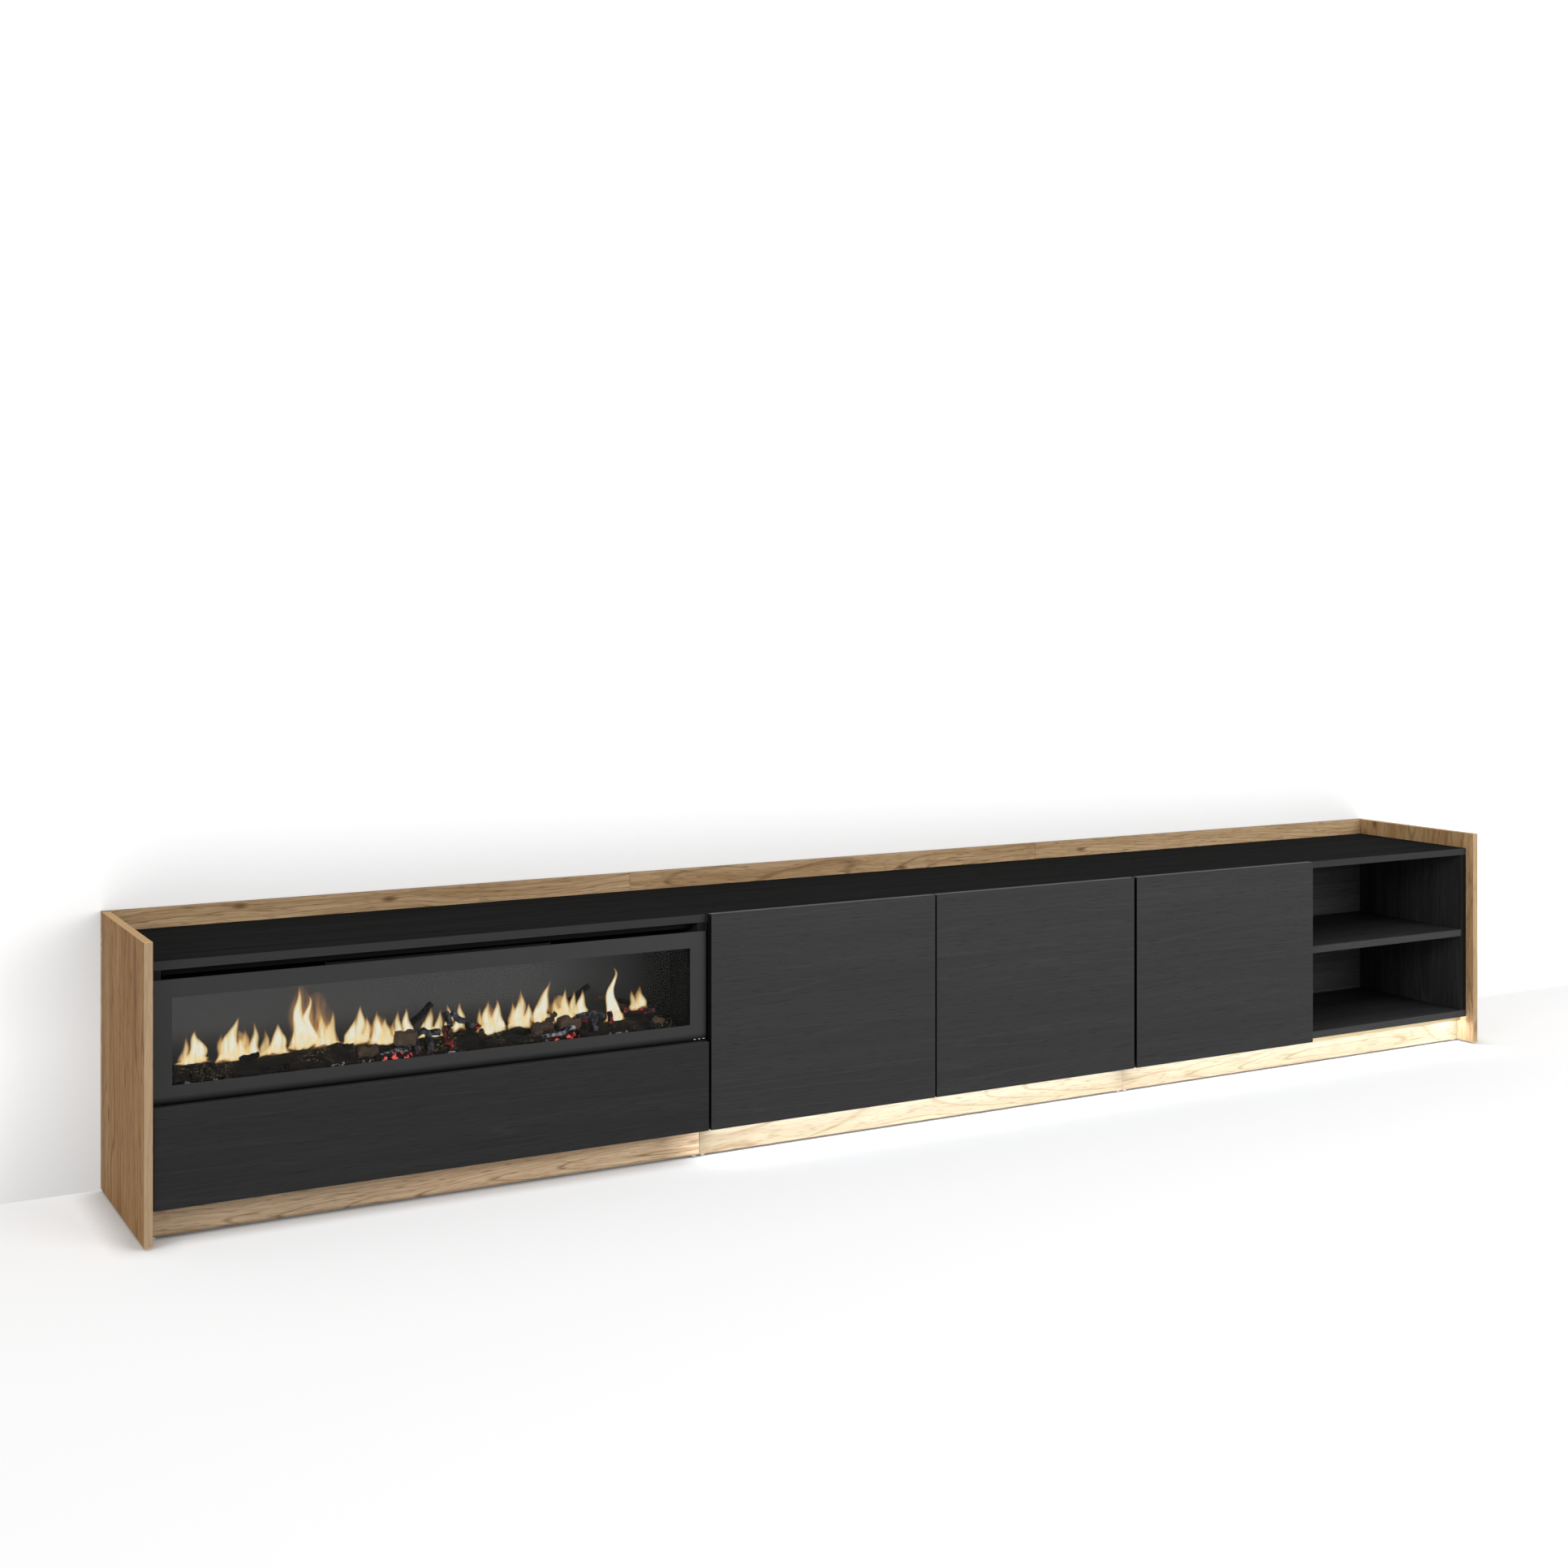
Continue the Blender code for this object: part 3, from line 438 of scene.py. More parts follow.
# Painted shade: the glow falls to 4 percent at the right and to 30 percent below 285 mm.
side = add(tree, "MapRange", {0: place["X"], 1: -0.86, 2: -0.60, 3: 1.0, 4: 0.04},
           interpolation_type="SMOOTHSTEP")
rise = add(tree, "MapRange", {0: place["Z"], 1: 0.285, 2: 0.335, 3: 0.30, 4: 1.0},
           interpolation_type="SMOOTHSTEP")
glow = add(tree, "Math", {0: side, 1: rise}, operation="MULTIPLY")
cloud = add(tree, "TexNoise", {"Vector": add(tree, "TexCoord", output="Object"), "Scale": 9.0})
cloud = add(tree, "MapRange", {0: cloud, 3: 0.85, 4: 1.15})
glow = add(tree, "Math", {0: glow, 1: cloud}, operation="MULTIPLY")
feed(tree, shader,
     Emission_Color=add(tree, "Mix", {0: glow, 6: "#0A0A09", 7: "#404040"}, 2, data_type="RGBA"))
dress(smoked, "fire_flame_screen")


# Log set: logs, billets and ember bed cast in resin and painted by hand, bark nearly black-brown with
# golden flecks, charred ends grey-blue, and red translucent embers lit from inside.
def ripple(seed, along, around, waves):
    """A smooth uneven surface: a sum of sine waves, each with its own number of turns along and around
    the piece and its own phase."""
    chance = np.random.RandomState(seed)
    total = 0.0
    for turns_along, turns_around, height in waves:
        phase, drift = chance.uniform(0, 2 * np.pi, 2)
        total = total + height * np.sin(2 * np.pi * turns_along * along + turns_around * around
                                        + phase + 0.8 * np.sin(2 * np.pi * along * 1.3 + drift))
    return total


def cast_log(start, end, radius, seed, square=2.0, taper=0.82, bend=0.004, char=0.0, ember=0.0,
             ash=0.0, heart=0.0):
    """A cast log: rings of 40 points carried from start to end on a slightly bowed line. The radius
    is radius x taper x a superellipse of power square x (1 + bark ripples), drawn in at both ends.
    char, ember, ash and heart are the shares of those finishes, which the resin's paint reads."""
    start, end = np.array(start, float), np.array(end, float)
    length = np.linalg.norm(end - start)
    rows = max(10, int(length / 0.004))
    along = np.concatenate([[0.0, 0.004], np.linspace(0.012, 0.988, rows), [0.996, 1.0]])[:, None]
    around = np.linspace(0, 2 * np.pi, 40, endpoint=False)[None, :]
    direction = (end - start) / length
    aside = np.cross(direction, (0.0, 0.0, 1.0) if abs(direction[2]) < 0.9 else (0.0, 1.0, 0.0))
    aside /= np.linalg.norm(aside)
    other = np.cross(aside, direction)
    drawn = np.interp(along, [0.0, 0.004, 0.012, 0.988, 0.996, 1.0], [0.80, 0.93, 1, 1, 0.93, 0.80])
    form = (np.abs(np.cos(around)) ** square + np.abs(np.sin(around)) ** square) ** (-1 / square)
    turns = length / 0.05
    bark = ripple(seed, along, around, [(turns * 0.4, 2, 0.055), (turns * 0.9, 1, 0.050),
                                        (turns * 1.6, 3, 0.040), (turns * 0.5, 9, 0.035),
                                        (turns * 2.7, 5, 0.030), (turns * 4.1, 7, 0.018)])
    reach = radius * (1 - (1 - taper) * along) * form * drawn * (1 + bark)
    bow = ripple(seed + 50, along, 0.0, [(0.5, 0, bend), (1.3, 0, bend * 0.4)])
    line = start + (end - start) * along[:, :, None] + other * (bow * np.sin(np.pi * along))[:, :, None]
    outward = aside * np.cos(around)[:, :, None] + other * np.sin(around)[:, :, None]
    grid = line + reach[:, :, None] * outward
    tips = np.clip(1 - np.minimum(along, 1 - along) * length / 0.012, 0, 1)
    return shell(grid, char=np.clip(char + tips * 0.3, 0, 1) + 0 * around, ember=ember + 0 * bark,
                 ash=ash + 0 * bark, heart=heart + 0 * bark)


def coal(centre, size, seed, char=1.0, ember=0.0, ash=0.0, heart=0.0):
    """A lump of coal or ash: a ball of 9 rings of 12 points, its radius uneven by 25 percent and
    flattened to its size."""
    polar = np.linspace(0.12, np.pi - 0.12, 9)[:, None]
    around = np.linspace(0, 2 * np.pi, 12, endpoint=False)[None, :]
    bumps = 1 + ripple(seed, polar / np.pi, around, [(1.0, 2, 0.14), (0.5, 3, 0.10), (2.0, 1, 0.08)])
    unit = np.stack([np.sin(polar) * np.cos(around), np.sin(polar) * np.sin(around),
                     np.cos(polar) + 0 * around], -1)
    flat = np.ones((9, 12))
    return shell(np.array(centre) + unit * bumps[:, :, None] * np.array(size), char=char * flat,
                 ember=ember * flat, ash=ash * flat, heart=heart * flat)


width = np.linspace(0, 1, 340)[:, None]
round_bed = np.linspace(0, 2 * np.pi, 48, endpoint=False)[None, :]
bed_swell = ripple(7, width * 14, round_bed, [(1.0, 2, 0.0012), (2.3, 4, 0.0010), (3.9, 7, 0.0009),
                                              (6.1, 11, 0.0006)])
bed_grid = np.stack([-1.5046 + 0.9592 * width + 0 * round_bed,
                     -0.09665 + (0.0415 + bed_swell * 0.3) * np.clip(1.25 * np.cos(round_bed), -1, 1),
                     0.2420 + np.clip(1.3 * np.sin(round_bed), -1, 1) * 0.0082
                     + np.where(np.sin(round_bed) > 0.1, bed_swell * 1.6, 0)], -1)
zero = 0 * (width + round_bed)
log_shells = [shell(bed_grid, char=zero + 0.45, ember=zero, ash=zero + 0.1, heart=zero)]
for start, end, radius, look in (
        ((-1.5, -0.099, 0.2618), (-1.206, -0.101, 0.2612), 0.017, {}),
        ((-1.231, -0.105, 0.2605), (-0.939, -0.102, 0.2598), 0.017, {}),
        ((-0.967, -0.092, 0.2611), (-0.799, -0.088, 0.2713), 0.0153, {}),
        ((-0.833, -0.1035, 0.2604), (-0.555, -0.0967, 0.2564), 0.0162, {}),
        ((-1.245, -0.112, 0.266), (-1.178, -0.113, 0.273), 0.014, {}),
        ((-1.108, -0.086, 0.262), (-1.027, -0.088, 0.3345), 0.0066, dict(char=0.85, bend=0.001)),
        ((-0.812, -0.088, 0.275), (-0.7185, -0.088, 0.338), 0.0064, dict(char=0.85, bend=0.001)),
        ((-0.702, -0.088, 0.316), (-0.604, -0.088, 0.276), 0.0058, dict(heart=0.35)),
        ((-0.655, -0.085, 0.303), (-0.59, -0.09, 0.27), 0.0044, dict(char=0.5)),
        ((-0.656, -0.112, 0.2895), (-0.594, -0.112, 0.283), 0.0048,
         dict(char=0.4, ember=0.45, ash=0.06)),
        ((-1.104, -0.117, 0.2855), (-1.07, -0.118, 0.2815), 0.0125,
         dict(square=5.0, heart=0.7, taper=1.0)),
        ((-1.075, -0.119, 0.2905), (-1.023, -0.121, 0.288), 0.006,
         dict(char=1.0, ash=0.12, taper=1.0)),
        ((-1.046, -0.122, 0.287), (-1.039, -0.126, 0.246), 0.0058,
         dict(char=1.0, ash=0.15, taper=1.0)),
        ((-1.07, -0.12, 0.288), (-1.064, -0.126, 0.247), 0.0056, dict(char=1.0, ash=0.15, ember=0.15)),
        ((-1.142, -0.128, 0.257), (-1.08, -0.128, 0.269), 0.0046, dict(char=1.0, ash=0.7)),
        ((-1.133, -0.13, 0.2505), (-1.079, -0.13, 0.255), 0.0074, dict(char=0.9, ember=1.7)),
        ((-1.013, -0.12, 0.3225), (-1.003, -0.121, 0.296), 0.0064, dict(char=0.45, ash=0.1)),
        ((-1.01, -0.121, 0.299), (-1.001, -0.125, 0.247), 0.0064, dict(char=0.35, ember=0.55)),
        ((-1.0, -0.117, 0.319), (-0.958, -0.117, 0.2925), 0.0064, dict(char=0.95, ash=0.2)),
        ((-0.996, -0.092, 0.279), (-0.935, -0.092, 0.2835), 0.0078, dict(char=0.4)),
        ((-0.792, -0.117, 0.2775), (-0.751, -0.118, 0.2805), 0.01,
         dict(square=5.0, heart=0.7, taper=1.0)),
        ((-0.758, -0.119, 0.2875), (-0.702, -0.121, 0.2885), 0.0062,
         dict(char=1.0, ash=0.15, taper=1.0)),
        ((-0.742, -0.122, 0.285), (-0.74, -0.126, 0.247), 0.006, dict(char=0.9, ember=0.35)),
        ((-0.722, -0.122, 0.285), (-0.719, -0.126, 0.246), 0.006, dict(char=1.0, ash=0.2)),
        ((-0.831, -0.128, 0.26), (-0.764, -0.128, 0.2715), 0.0046, dict(char=1.0, ash=0.7)),
        ((-0.816, -0.13, 0.252), (-0.765, -0.13, 0.256), 0.0076, dict(char=0.9, ember=1.7)),
        ((-0.6925, -0.123, 0.2925), (-0.681, -0.126, 0.246), 0.0046,
         dict(char=0.4, ember=0.65, taper=1.6)),
        ((-0.843, -0.112, 0.27), (-0.803, -0.116, 0.2765), 0.0096, dict(heart=0.45)),
        ((-0.812, -0.11, 0.283), (-0.796, -0.112, 0.3), 0.0058, dict(heart=0.3)),
        ((-0.939, -0.118, 0.27), (-0.9385, -0.104, 0.2795), 0.0062, dict(heart=0.25)),
        ((-1.173, -0.116, 0.2635), (-1.137, -0.119, 0.272), 0.0106, dict(heart=0.6)),
        ((-1.199, -0.117, 0.28), (-1.174, -0.119, 0.275), 0.0055, dict(char=0.9)),
        ((-1.377, -0.11, 0.276), (-1.344, -0.108, 0.283), 0.0055, dict(char=0.9))):
    log_shells.append(cast_log(start, end, radius, len(log_shells), **look))
chance = np.random.RandomState(11)
for number, x in enumerate(np.linspace(-1.478, -0.588, 26)):
    turn, length = chance.uniform(-0.35, 0.35), chance.uniform(0.020, 0.034)
    middle = np.array([x, chance.uniform(-0.127, -0.118), chance.uniform(0.2500, 0.2575)])
    reach = np.array([np.cos(turn), 0.35 * np.sin(turn), 0.25 * np.sin(2 * turn)]) * length
    log_shells.append(cast_log(middle - reach, middle + reach, chance.uniform(0.0075, 0.0105),
                               200 + number, char=0.15 * (number % 2)))
for centre, size, look in (
        ((-0.59, -0.119, 0.262), (0.014, 0.008, 0.0085), dict(heart=0.8)),
        ((-0.902, -0.122, 0.256), (0.013, 0.007, 0.008), dict(heart=0.8)),
        ((-0.833, -0.116, 0.267), (0.011, 0.007, 0.009), dict(heart=0.8)),
        ((-0.951, -0.117, 0.2915), (0.0065, 0.005, 0.0045), dict(ember=1.0)),
        ((-1.004, -0.131, 0.252), (0.0075, 0.0035, 0.0028), dict(ash=1.6)),
        ((-0.678, -0.131, 0.251), (0.009, 0.0035, 0.0028), dict(ash=1.6)),
        ((-0.7, -0.13, 0.253), (0.008, 0.004, 0.004), dict(ash=1.2)),
        ((-1.215, -0.131, 0.253), (0.0085, 0.004, 0.0032), dict(ash=1.2, ember=0.3)),
        ((-1.204, -0.1315, 0.2545), (0.004, 0.003, 0.0036), dict(ash=1.8)),
        ((-1.167, -0.1315, 0.253), (0.0035, 0.003, 0.0032), dict(ash=1.8))):
    log_shells.append(coal(centre, size, len(log_shells), **look))
chance = np.random.RandomState(4)
for number in range(70):
    along = chance.uniform(0.02, 0.98)
    if 0.36 < along < 0.50 or 0.70 < along < 0.86 or number % 3 == 0:
        size = chance.uniform(0.0025, 0.0055)
        place = (-1.50485 + 0.9597 * along, chance.uniform(-0.134, -0.124), 0.2520)
        log_shells.append(coal(place, (size * 1.3, size, size * 0.8), number,
                               ash=float(number % 4 == 0), ember=float(number % 3 == 1) * 0.8))

log_resin, tree, shader = new_material("painted_cast_resin", Roughness=0.75, Specular_IOR_Level=0.14,
                                       Emission_Strength=1.0)
char, heart, ash, ember = [add(tree, "Attribute", output="Fac", attribute_name=finish)
                           for finish in ("char", "heart", "ash", "ember")]
where = add(tree, "TexCoord", output="Object")
lumps = add(tree, "TexNoise", {"Vector": where, "Scale": 70.0, "Detail": 4.0, "Roughness": 0.65})
share = add(tree, "MapRange", {0: lumps, 1: 0.35, 2: 0.68})
bark = add(tree, "Mix", {0: share, 6: "#090706", 7: "#221B13"}, 2, data_type="RGBA")
flecks = add(tree, "TexVoronoi", {"Vector": where, "Scale": 190.0})
patches = add(tree, "TexNoise", {"Vector": where, "Scale": 22.0})
share = add(tree, "Math", {0: add(tree, "MapRange", {0: flecks, 1: 0.38, 2: 0.16, 4: 0.7}),
                           1: add(tree, "MapRange", {0: patches, 1: 0.50, 2: 0.62})},
            operation="MULTIPLY")
bark = add(tree, "Mix", {0: share, 6: bark, 7: "#9C8A58"}, 2, data_type="RGBA")
scales = add(tree, "TexNoise", {"Vector": where, "Scale": 120.0, "Detail": 4.0, "Roughness": 0.7})
grey = add(tree, "MapRange", {0: scales, 1: 0.52, 2: 0.74})
cracks = add(tree, "TexVoronoi", {"Vector": where, "Scale": 150.0}, feature="DISTANCE_TO_EDGE")
cracks = add(tree, "MapRange", {0: cracks, 1: 0.03, 2: 0.20, 3: 0.0, 4: 1.0})
charred = add(tree, "Mix", {0: grey, 6: "#080808", 7: "#3C3F43"}, 2, data_type="RGBA")
charred = add(tree, "Mix", {0: cracks, 6: "#060606", 7: charred}, 2, data_type="RGBA")
colour = add(tree, "Mix", {0: char, 6: bark, 7: charred}, 2, data_type="RGBA")
heartwood = add(tree, "Mix", {0: lumps, 6: "#3A2C22", 7: "#8A7460"}, 2, data_type="RGBA")
colour = add(tree, "Mix", {0: heart, 6: colour, 7: heartwood}, 2, data_type="RGBA")
dust = add(tree, "MapRange", {0: patches, 1: 0.40, 2: 0.60})
dust = add(tree, "Math", {0: dust, 1: lumps}, operation="MAXIMUM")
dust = add(tree, "Math", {0: ash, 1: dust}, operation="MULTIPLY")
spots = add(tree, "MapRange", {0: scales, 1: 0.44, 2: 0.62, 3: 0.06, 4: 2.0})
dust = add(tree, "Math", {0: dust, 1: spots}, operation="MULTIPLY", use_clamp=True)
hot = add(tree, "TexNoise", {"Vector": where, "Scale": 95.0})
hot = add(tree, "MapRange", {0: hot, 1: 0.50, 2: 0.66})
hot = add(tree, "Math", {0: ember, 1: hot}, operation="MULTIPLY")
rough = add(tree, "Math", {0: lumps, 1: cracks}, operation="MULTIPLY")
feed(tree, shader,
     Base_Color=add(tree, "Mix", {0: dust, 6: colour, 7: "#C2C4CE"}, 2, data_type="RGBA"),
     Emission_Color=add(tree, "ValToRGB", {0: hot},
                        stops=[(0.0, "#000000"), (0.25, "#3A0A08"), (0.6, "#B02428"),
                               (1.0, "#EC665C")]),
     Normal=add(tree, "Bump", {"Strength": 0.9, "Distance": 0.0015, "Height": rough}))
log_set = add_piece("fire_logs_cast", log_shells, log_resin, "cabinet", sharp=60)
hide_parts("fire_log_set")


# Flames: the lit image that the fireplace shows above its logs, given as thin glowing tongues with a
# cream core, a golden blurred edge and nothing to touch.
def tongue(foot, foot_z, width, tip, tip_z, y, heat=1.3, curl=0.0, power=1.0, neck=0.02):
    """A flame: rings of 32 points carried from foot to tip. Its width is width x ((1 - u) ** power x a
    skirt at the foot and a belly, + neck), its middle line leans as u ** 1.5 and curls as a sine of
    curl x width, and it is 4 mm thick. The warmth starts from heat and falls within 8 mm of the two
    edges, at the foot and at the tip."""
    u = np.linspace(0, 0.995, 48)[:, None]
    turn = np.linspace(0, 2 * np.pi, 32, endpoint=False)[None, :]
    flare = (1 - u) ** power * (0.88 + 0.24 * np.exp(-u / 0.05) + 0.20 * np.sin(np.pi * u) ** 2)
    flare += neck * (1 - u ** 6)
    middle = foot + (tip - foot) * u ** 1.5 + curl * width * np.sin(2 * np.pi * u ** 1.35) * u ** 0.8
    across = np.cos(turn)
    sway = width * 0.14 * np.sin(7.5 * u + 40 * foot) * (1 - u) * np.minimum(1, 4 * u)
    ragged = 0.0030 * np.sin(4.0 * across + 70 * foot) * (1 - u) ** 6
    grid = np.stack([middle + sway + width * 0.56 * flare * across,
                     y + 0.0020 * (1 - u) ** 0.5 * np.sin(turn) + 0 * u,
                     foot_z + (tip_z - foot_z) * u + ragged], -1)
    depth = width * 0.56 * flare * (1 - np.abs(across))
    warm = heat * (1 - np.exp(-(depth / 0.0058) ** 1.5)) * (1 - 0.45 * u ** 2)
    warm = warm * np.clip(0.2 + u * 8, 0, 1)
    return shell(grid, warmth=np.clip(warm, 0, 2) + 0 * u)


flame_light, tree, shader = new_material("flame_light", Base_Color=(0, 0, 0, 1), Roughness=1.0,
                                         Specular_IOR_Level=0.0, Emission_Strength=1.5)
flicker = add(tree, "VectorMath", {0: add(tree, "TexCoord", output="Object"), 1: (120.0, 60.0, 20.0)},
              operation="MULTIPLY")
flicker = add(tree, "TexNoise", {"Vector": flicker, "Scale": 1.0})
flicker = add(tree, "MapRange", {0: flicker, 1: 0.30, 2: 0.62, 3: 0.42, 4: 1.12})
warm = add(tree, "Attribute", output="Fac", attribute_name="warmth")
warm = add(tree, "Math", {0: warm, 1: flicker}, operation="MULTIPLY", use_clamp=True)
feed(tree, shader,
     Emission_Color=add(tree, "ValToRGB", {0: warm},
                        stops=[(0.0, "#EAA068"), (0.16, "#F2B46C"), (0.36, "#DFC486"),
                               (0.62, "#CEC19B"), (0.92, "#D0CEBE")]),
     Alpha=add(tree, "MapRange", {0: warm, 1: 0.0, 2: 0.9, 3: 0.0, 4: 0.94},
               interpolation_type="SMOOTHSTEP"))
add_piece("fire_flames", [tongue(*values) for values in (
    (-1.450, 0.276, 0.044, -1.448, 0.338, -0.101, 1.2, 0.06),
    (-1.468, 0.277, 0.024, -1.463, 0.334, -0.099, 0.7),
    (-1.454, 0.276, 0.060, -1.454, 0.300, -0.102, 0.7),
    (-1.396, 0.274, 0.044, -1.375, 0.354, -0.101, 1.2),
    (-1.404, 0.275, 0.026, -1.407, 0.333, -0.098, 0.7),
    (-1.374, 0.277, 0.036, -1.378, 0.318, -0.102, 1.2),
    (-1.362, 0.277, 0.030, -1.367, 0.334, -0.097, 0.6),
    (-1.350, 0.278, 0.024, -1.347, 0.344, -0.100, 1.2, 0.1),
    (-1.380, 0.276, 0.076, -1.378, 0.300, -0.103, 0.6),
    (-1.308, 0.277, 0.042, -1.312, 0.335, -0.101, 1.2, -0.08),
    (-1.329, 0.277, 0.026, -1.331, 0.329, -0.098, 0.65),
    (-1.316, 0.277, 0.056, -1.316, 0.301, -0.102, 0.7),
    (-1.270, 0.283, 0.034, -1.276, 0.398, -0.101, 1.7, -0.12, 1.4, 0.16),
    (-1.250, 0.283, 0.028, -1.264, 0.382, -0.099, 1.9, -0.38, 1.6, 0.20),
    (-1.264, 0.283, 0.064, -1.264, 0.320, -0.102, 0.7),
    (-1.230, 0.282, 0.034, -1.231, 0.348, -0.100, 0.9, 0.1),
    (-1.214, 0.282, 0.028, -1.212, 0.352, -0.099, 0.8),
    (-1.224, 0.282, 0.056, -1.222, 0.310, -0.102, 0.8),
    (-1.266, 0.283, 0.054, -1.266, 0.392, -0.096, 0.20, 0.0, 0.30),
    (-1.243, 0.283, 0.068, -1.240, 0.378, -0.095, 0.21, 0.0, 0.30),
    (-1.226, 0.285, 0.046, -1.228, 0.362, -0.094, 0.20, 0.0, 0.30),
    (-1.372, 0.276, 0.056, -1.378, 0.325, -0.096, 0.31, 0.0, 0.4),
    (-1.120, 0.273, 0.048, -1.130, 0.326, -0.096, 0.34, 0.0, 0.4),
    (-1.152, 0.279, 0.034, -1.150, 0.322, -0.096, 0.32, 0.0, 0.4),
    (-0.776, 0.282, 0.060, -0.782, 0.328, -0.096, 0.34, 0.0, 0.4),
    (-0.918, 0.271, 0.044, -0.922, 0.326, -0.096, 0.32, 0.0, 0.4),
    (-1.172, 0.279, 0.044, -1.161, 0.352, -0.101, 1.2),
    (-1.152, 0.279, 0.028, -1.149, 0.334, -0.098, 0.8),
    (-1.168, 0.279, 0.060, -1.167, 0.304, -0.102, 0.7),
    (-1.134, 0.273, 0.032, -1.132, 0.341, -0.101, 1.2),
    (-1.119, 0.273, 0.034, -1.116, 0.326, -0.099, 0.9),
    (-1.104, 0.273, 0.026, -1.101, 0.322, -0.100, 0.9),
    (-1.121, 0.273, 0.056, -1.120, 0.304, -0.102, 0.8),
    (-1.094, 0.284, 0.022, -1.094, 0.339, -0.100, 1.1),
    (-1.077, 0.284, 0.028, -1.080, 0.340, -0.101, 1.2),
    (-1.040, 0.272, 0.034, -1.032, 0.340, -0.101, 1.1),
    (-1.021, 0.271, 0.030, -1.013, 0.330, -0.099, 0.9),
    (-1.032, 0.271, 0.056, -1.031, 0.300, -0.102, 0.8),
    (-0.997, 0.286, 0.024, -1.003, 0.341, -0.100, 1.1),
    (-0.980, 0.284, 0.028, -0.978, 0.341, -0.102, 1.2),
    (-0.926, 0.270, 0.034, -0.924, 0.340, -0.101, 1.1),
    (-0.904, 0.274, 0.034, -0.907, 0.338, -0.100, 1.2),
    (-0.937, 0.272, 0.024, -0.940, 0.328, -0.098, 0.7),
    (-0.918, 0.271, 0.060, -0.918, 0.304, -0.102, 0.8),
    (-0.863, 0.277, 0.038, -0.860, 0.352, -0.101, 1.2),
    (-0.848, 0.277, 0.030, -0.842, 0.324, -0.099, 1.0),
    (-0.874, 0.277, 0.024, -0.877, 0.334, -0.098, 0.8),
    (-0.862, 0.276, 0.052, -0.861, 0.308, -0.102, 0.8),
    (-0.824, 0.283, 0.038, -0.801, 0.363, -0.101, 1.2, -0.1),
    (-0.821, 0.283, 0.046, -0.819, 0.310, -0.102, 0.7),
    (-0.790, 0.276, 0.028, -0.792, 0.337, -0.099, 0.8),
    (-0.773, 0.284, 0.026, -0.772, 0.348, -0.101, 1.1),
    (-0.778, 0.282, 0.056, -0.776, 0.312, -0.102, 0.8),
    (-0.755, 0.288, 0.024, -0.754, 0.340, -0.100, 1.1),
    (-0.739, 0.288, 0.028, -0.738, 0.340, -0.102, 1.2),
    (-0.669, 0.268, 0.031, -0.688, 0.380, -0.101, 2.4, -0.60, 1.8, 0.20),
    (-0.671, 0.267, 0.046, -0.672, 0.300, -0.102, 0.7),
    (-0.640, 0.291, 0.026, -0.646, 0.336, -0.120, 0.75),
    (-0.628, 0.291, 0.032, -0.627, 0.342, -0.119, 1.1))],
    flame_light, "cabinet", sharp=80)


# LED channels under the middle and right modules: extruded aluminium, anodised in champagne with fine
# drawing lines along it, each closed by an opal acrylic cover that glows a cool white on the plinth.
anodised, tree, shader = new_material("anodised_aluminium", Metallic=1.0)
lines = add(tree, "VectorMath", {0: add(tree, "TexCoord", output="Object"), 1: (3.0, 2500.0, 2500.0)},
            operation="MULTIPLY")
lines = add(tree, "TexNoise", {"Vector": lines, "Scale": 1.0})
feed(tree, shader,
     Base_Color=add(tree, "Mix", {0: lines, 6: "#D6BE92", 7: "#E6D1A8"}, 2, data_type="RGBA"),
     Roughness=add(tree, "MapRange", {0: lines, 3: 0.24, 4: 0.42}))
dress(anodised, "led_channel_2", "led_channel_3")

opal, tree, shader = new_material("lit_opal_acrylic", Base_Color=linear("#F4F4F2"), Roughness=0.4)
glow = add(tree, "TexNoise", {"Vector": add(tree, "TexCoord", output="Object"), "Scale": 60.0})
place = add(tree, "SeparateXYZ", {0: add(tree, "TexCoord", output="Object")}).node.outputs
across = add(tree, "MapRange", {0: place["Y"], 1: -0.1600, 2: -0.1490, 3: 29.0, 4: 5.0})
toward_end = add(tree, "MapRange", {0: place["X"], 1: 1.45, 2: 1.52, 3: 1.0, 4: 2.5})
feed(tree, shader,
     Emission_Color=add(tree, "Mix", {0: glow, 6: "#CCE0FF", 7: "#D2E4FF"}, 2, data_type="RGBA"),
     Emission_Strength=add(tree, "Math", {0: across, 1: toward_end}, operation="MULTIPLY"))
add_piece("led_covers", [bar((low, -0.1605, 0.0551), (high, -0.1478, 0.0566), 0.0006)
                         for low, high in ((-0.5003, 0.5003), (0.5247, 1.5253))],
          opal, "cabinet")


# Concealed hinges: steel arms and cup plates, stamped and nickel plated, a warm grey metal with small
# bright scratches. Each cup plate is pressed into the door's back with a screw above and below.
nickel, tree, shader = new_material("nickel_plated_steel", Metallic=1.0)
scratches = add(tree, "TexNoise",
                {"Vector": add(tree, "TexCoord", output="Object"), "Scale": 700.0, "Detail": 3.0})
feed(tree, shader,
     Base_Color=add(tree, "Mix", {0: scratches, 6: "#A7A39B", 7: "#C7C4BD"}, 2, data_type="RGBA"),
     Roughness=add(tree, "MapRange", {0: scratches, 3: 0.2, 4: 0.4}))
door_back = -0.16965


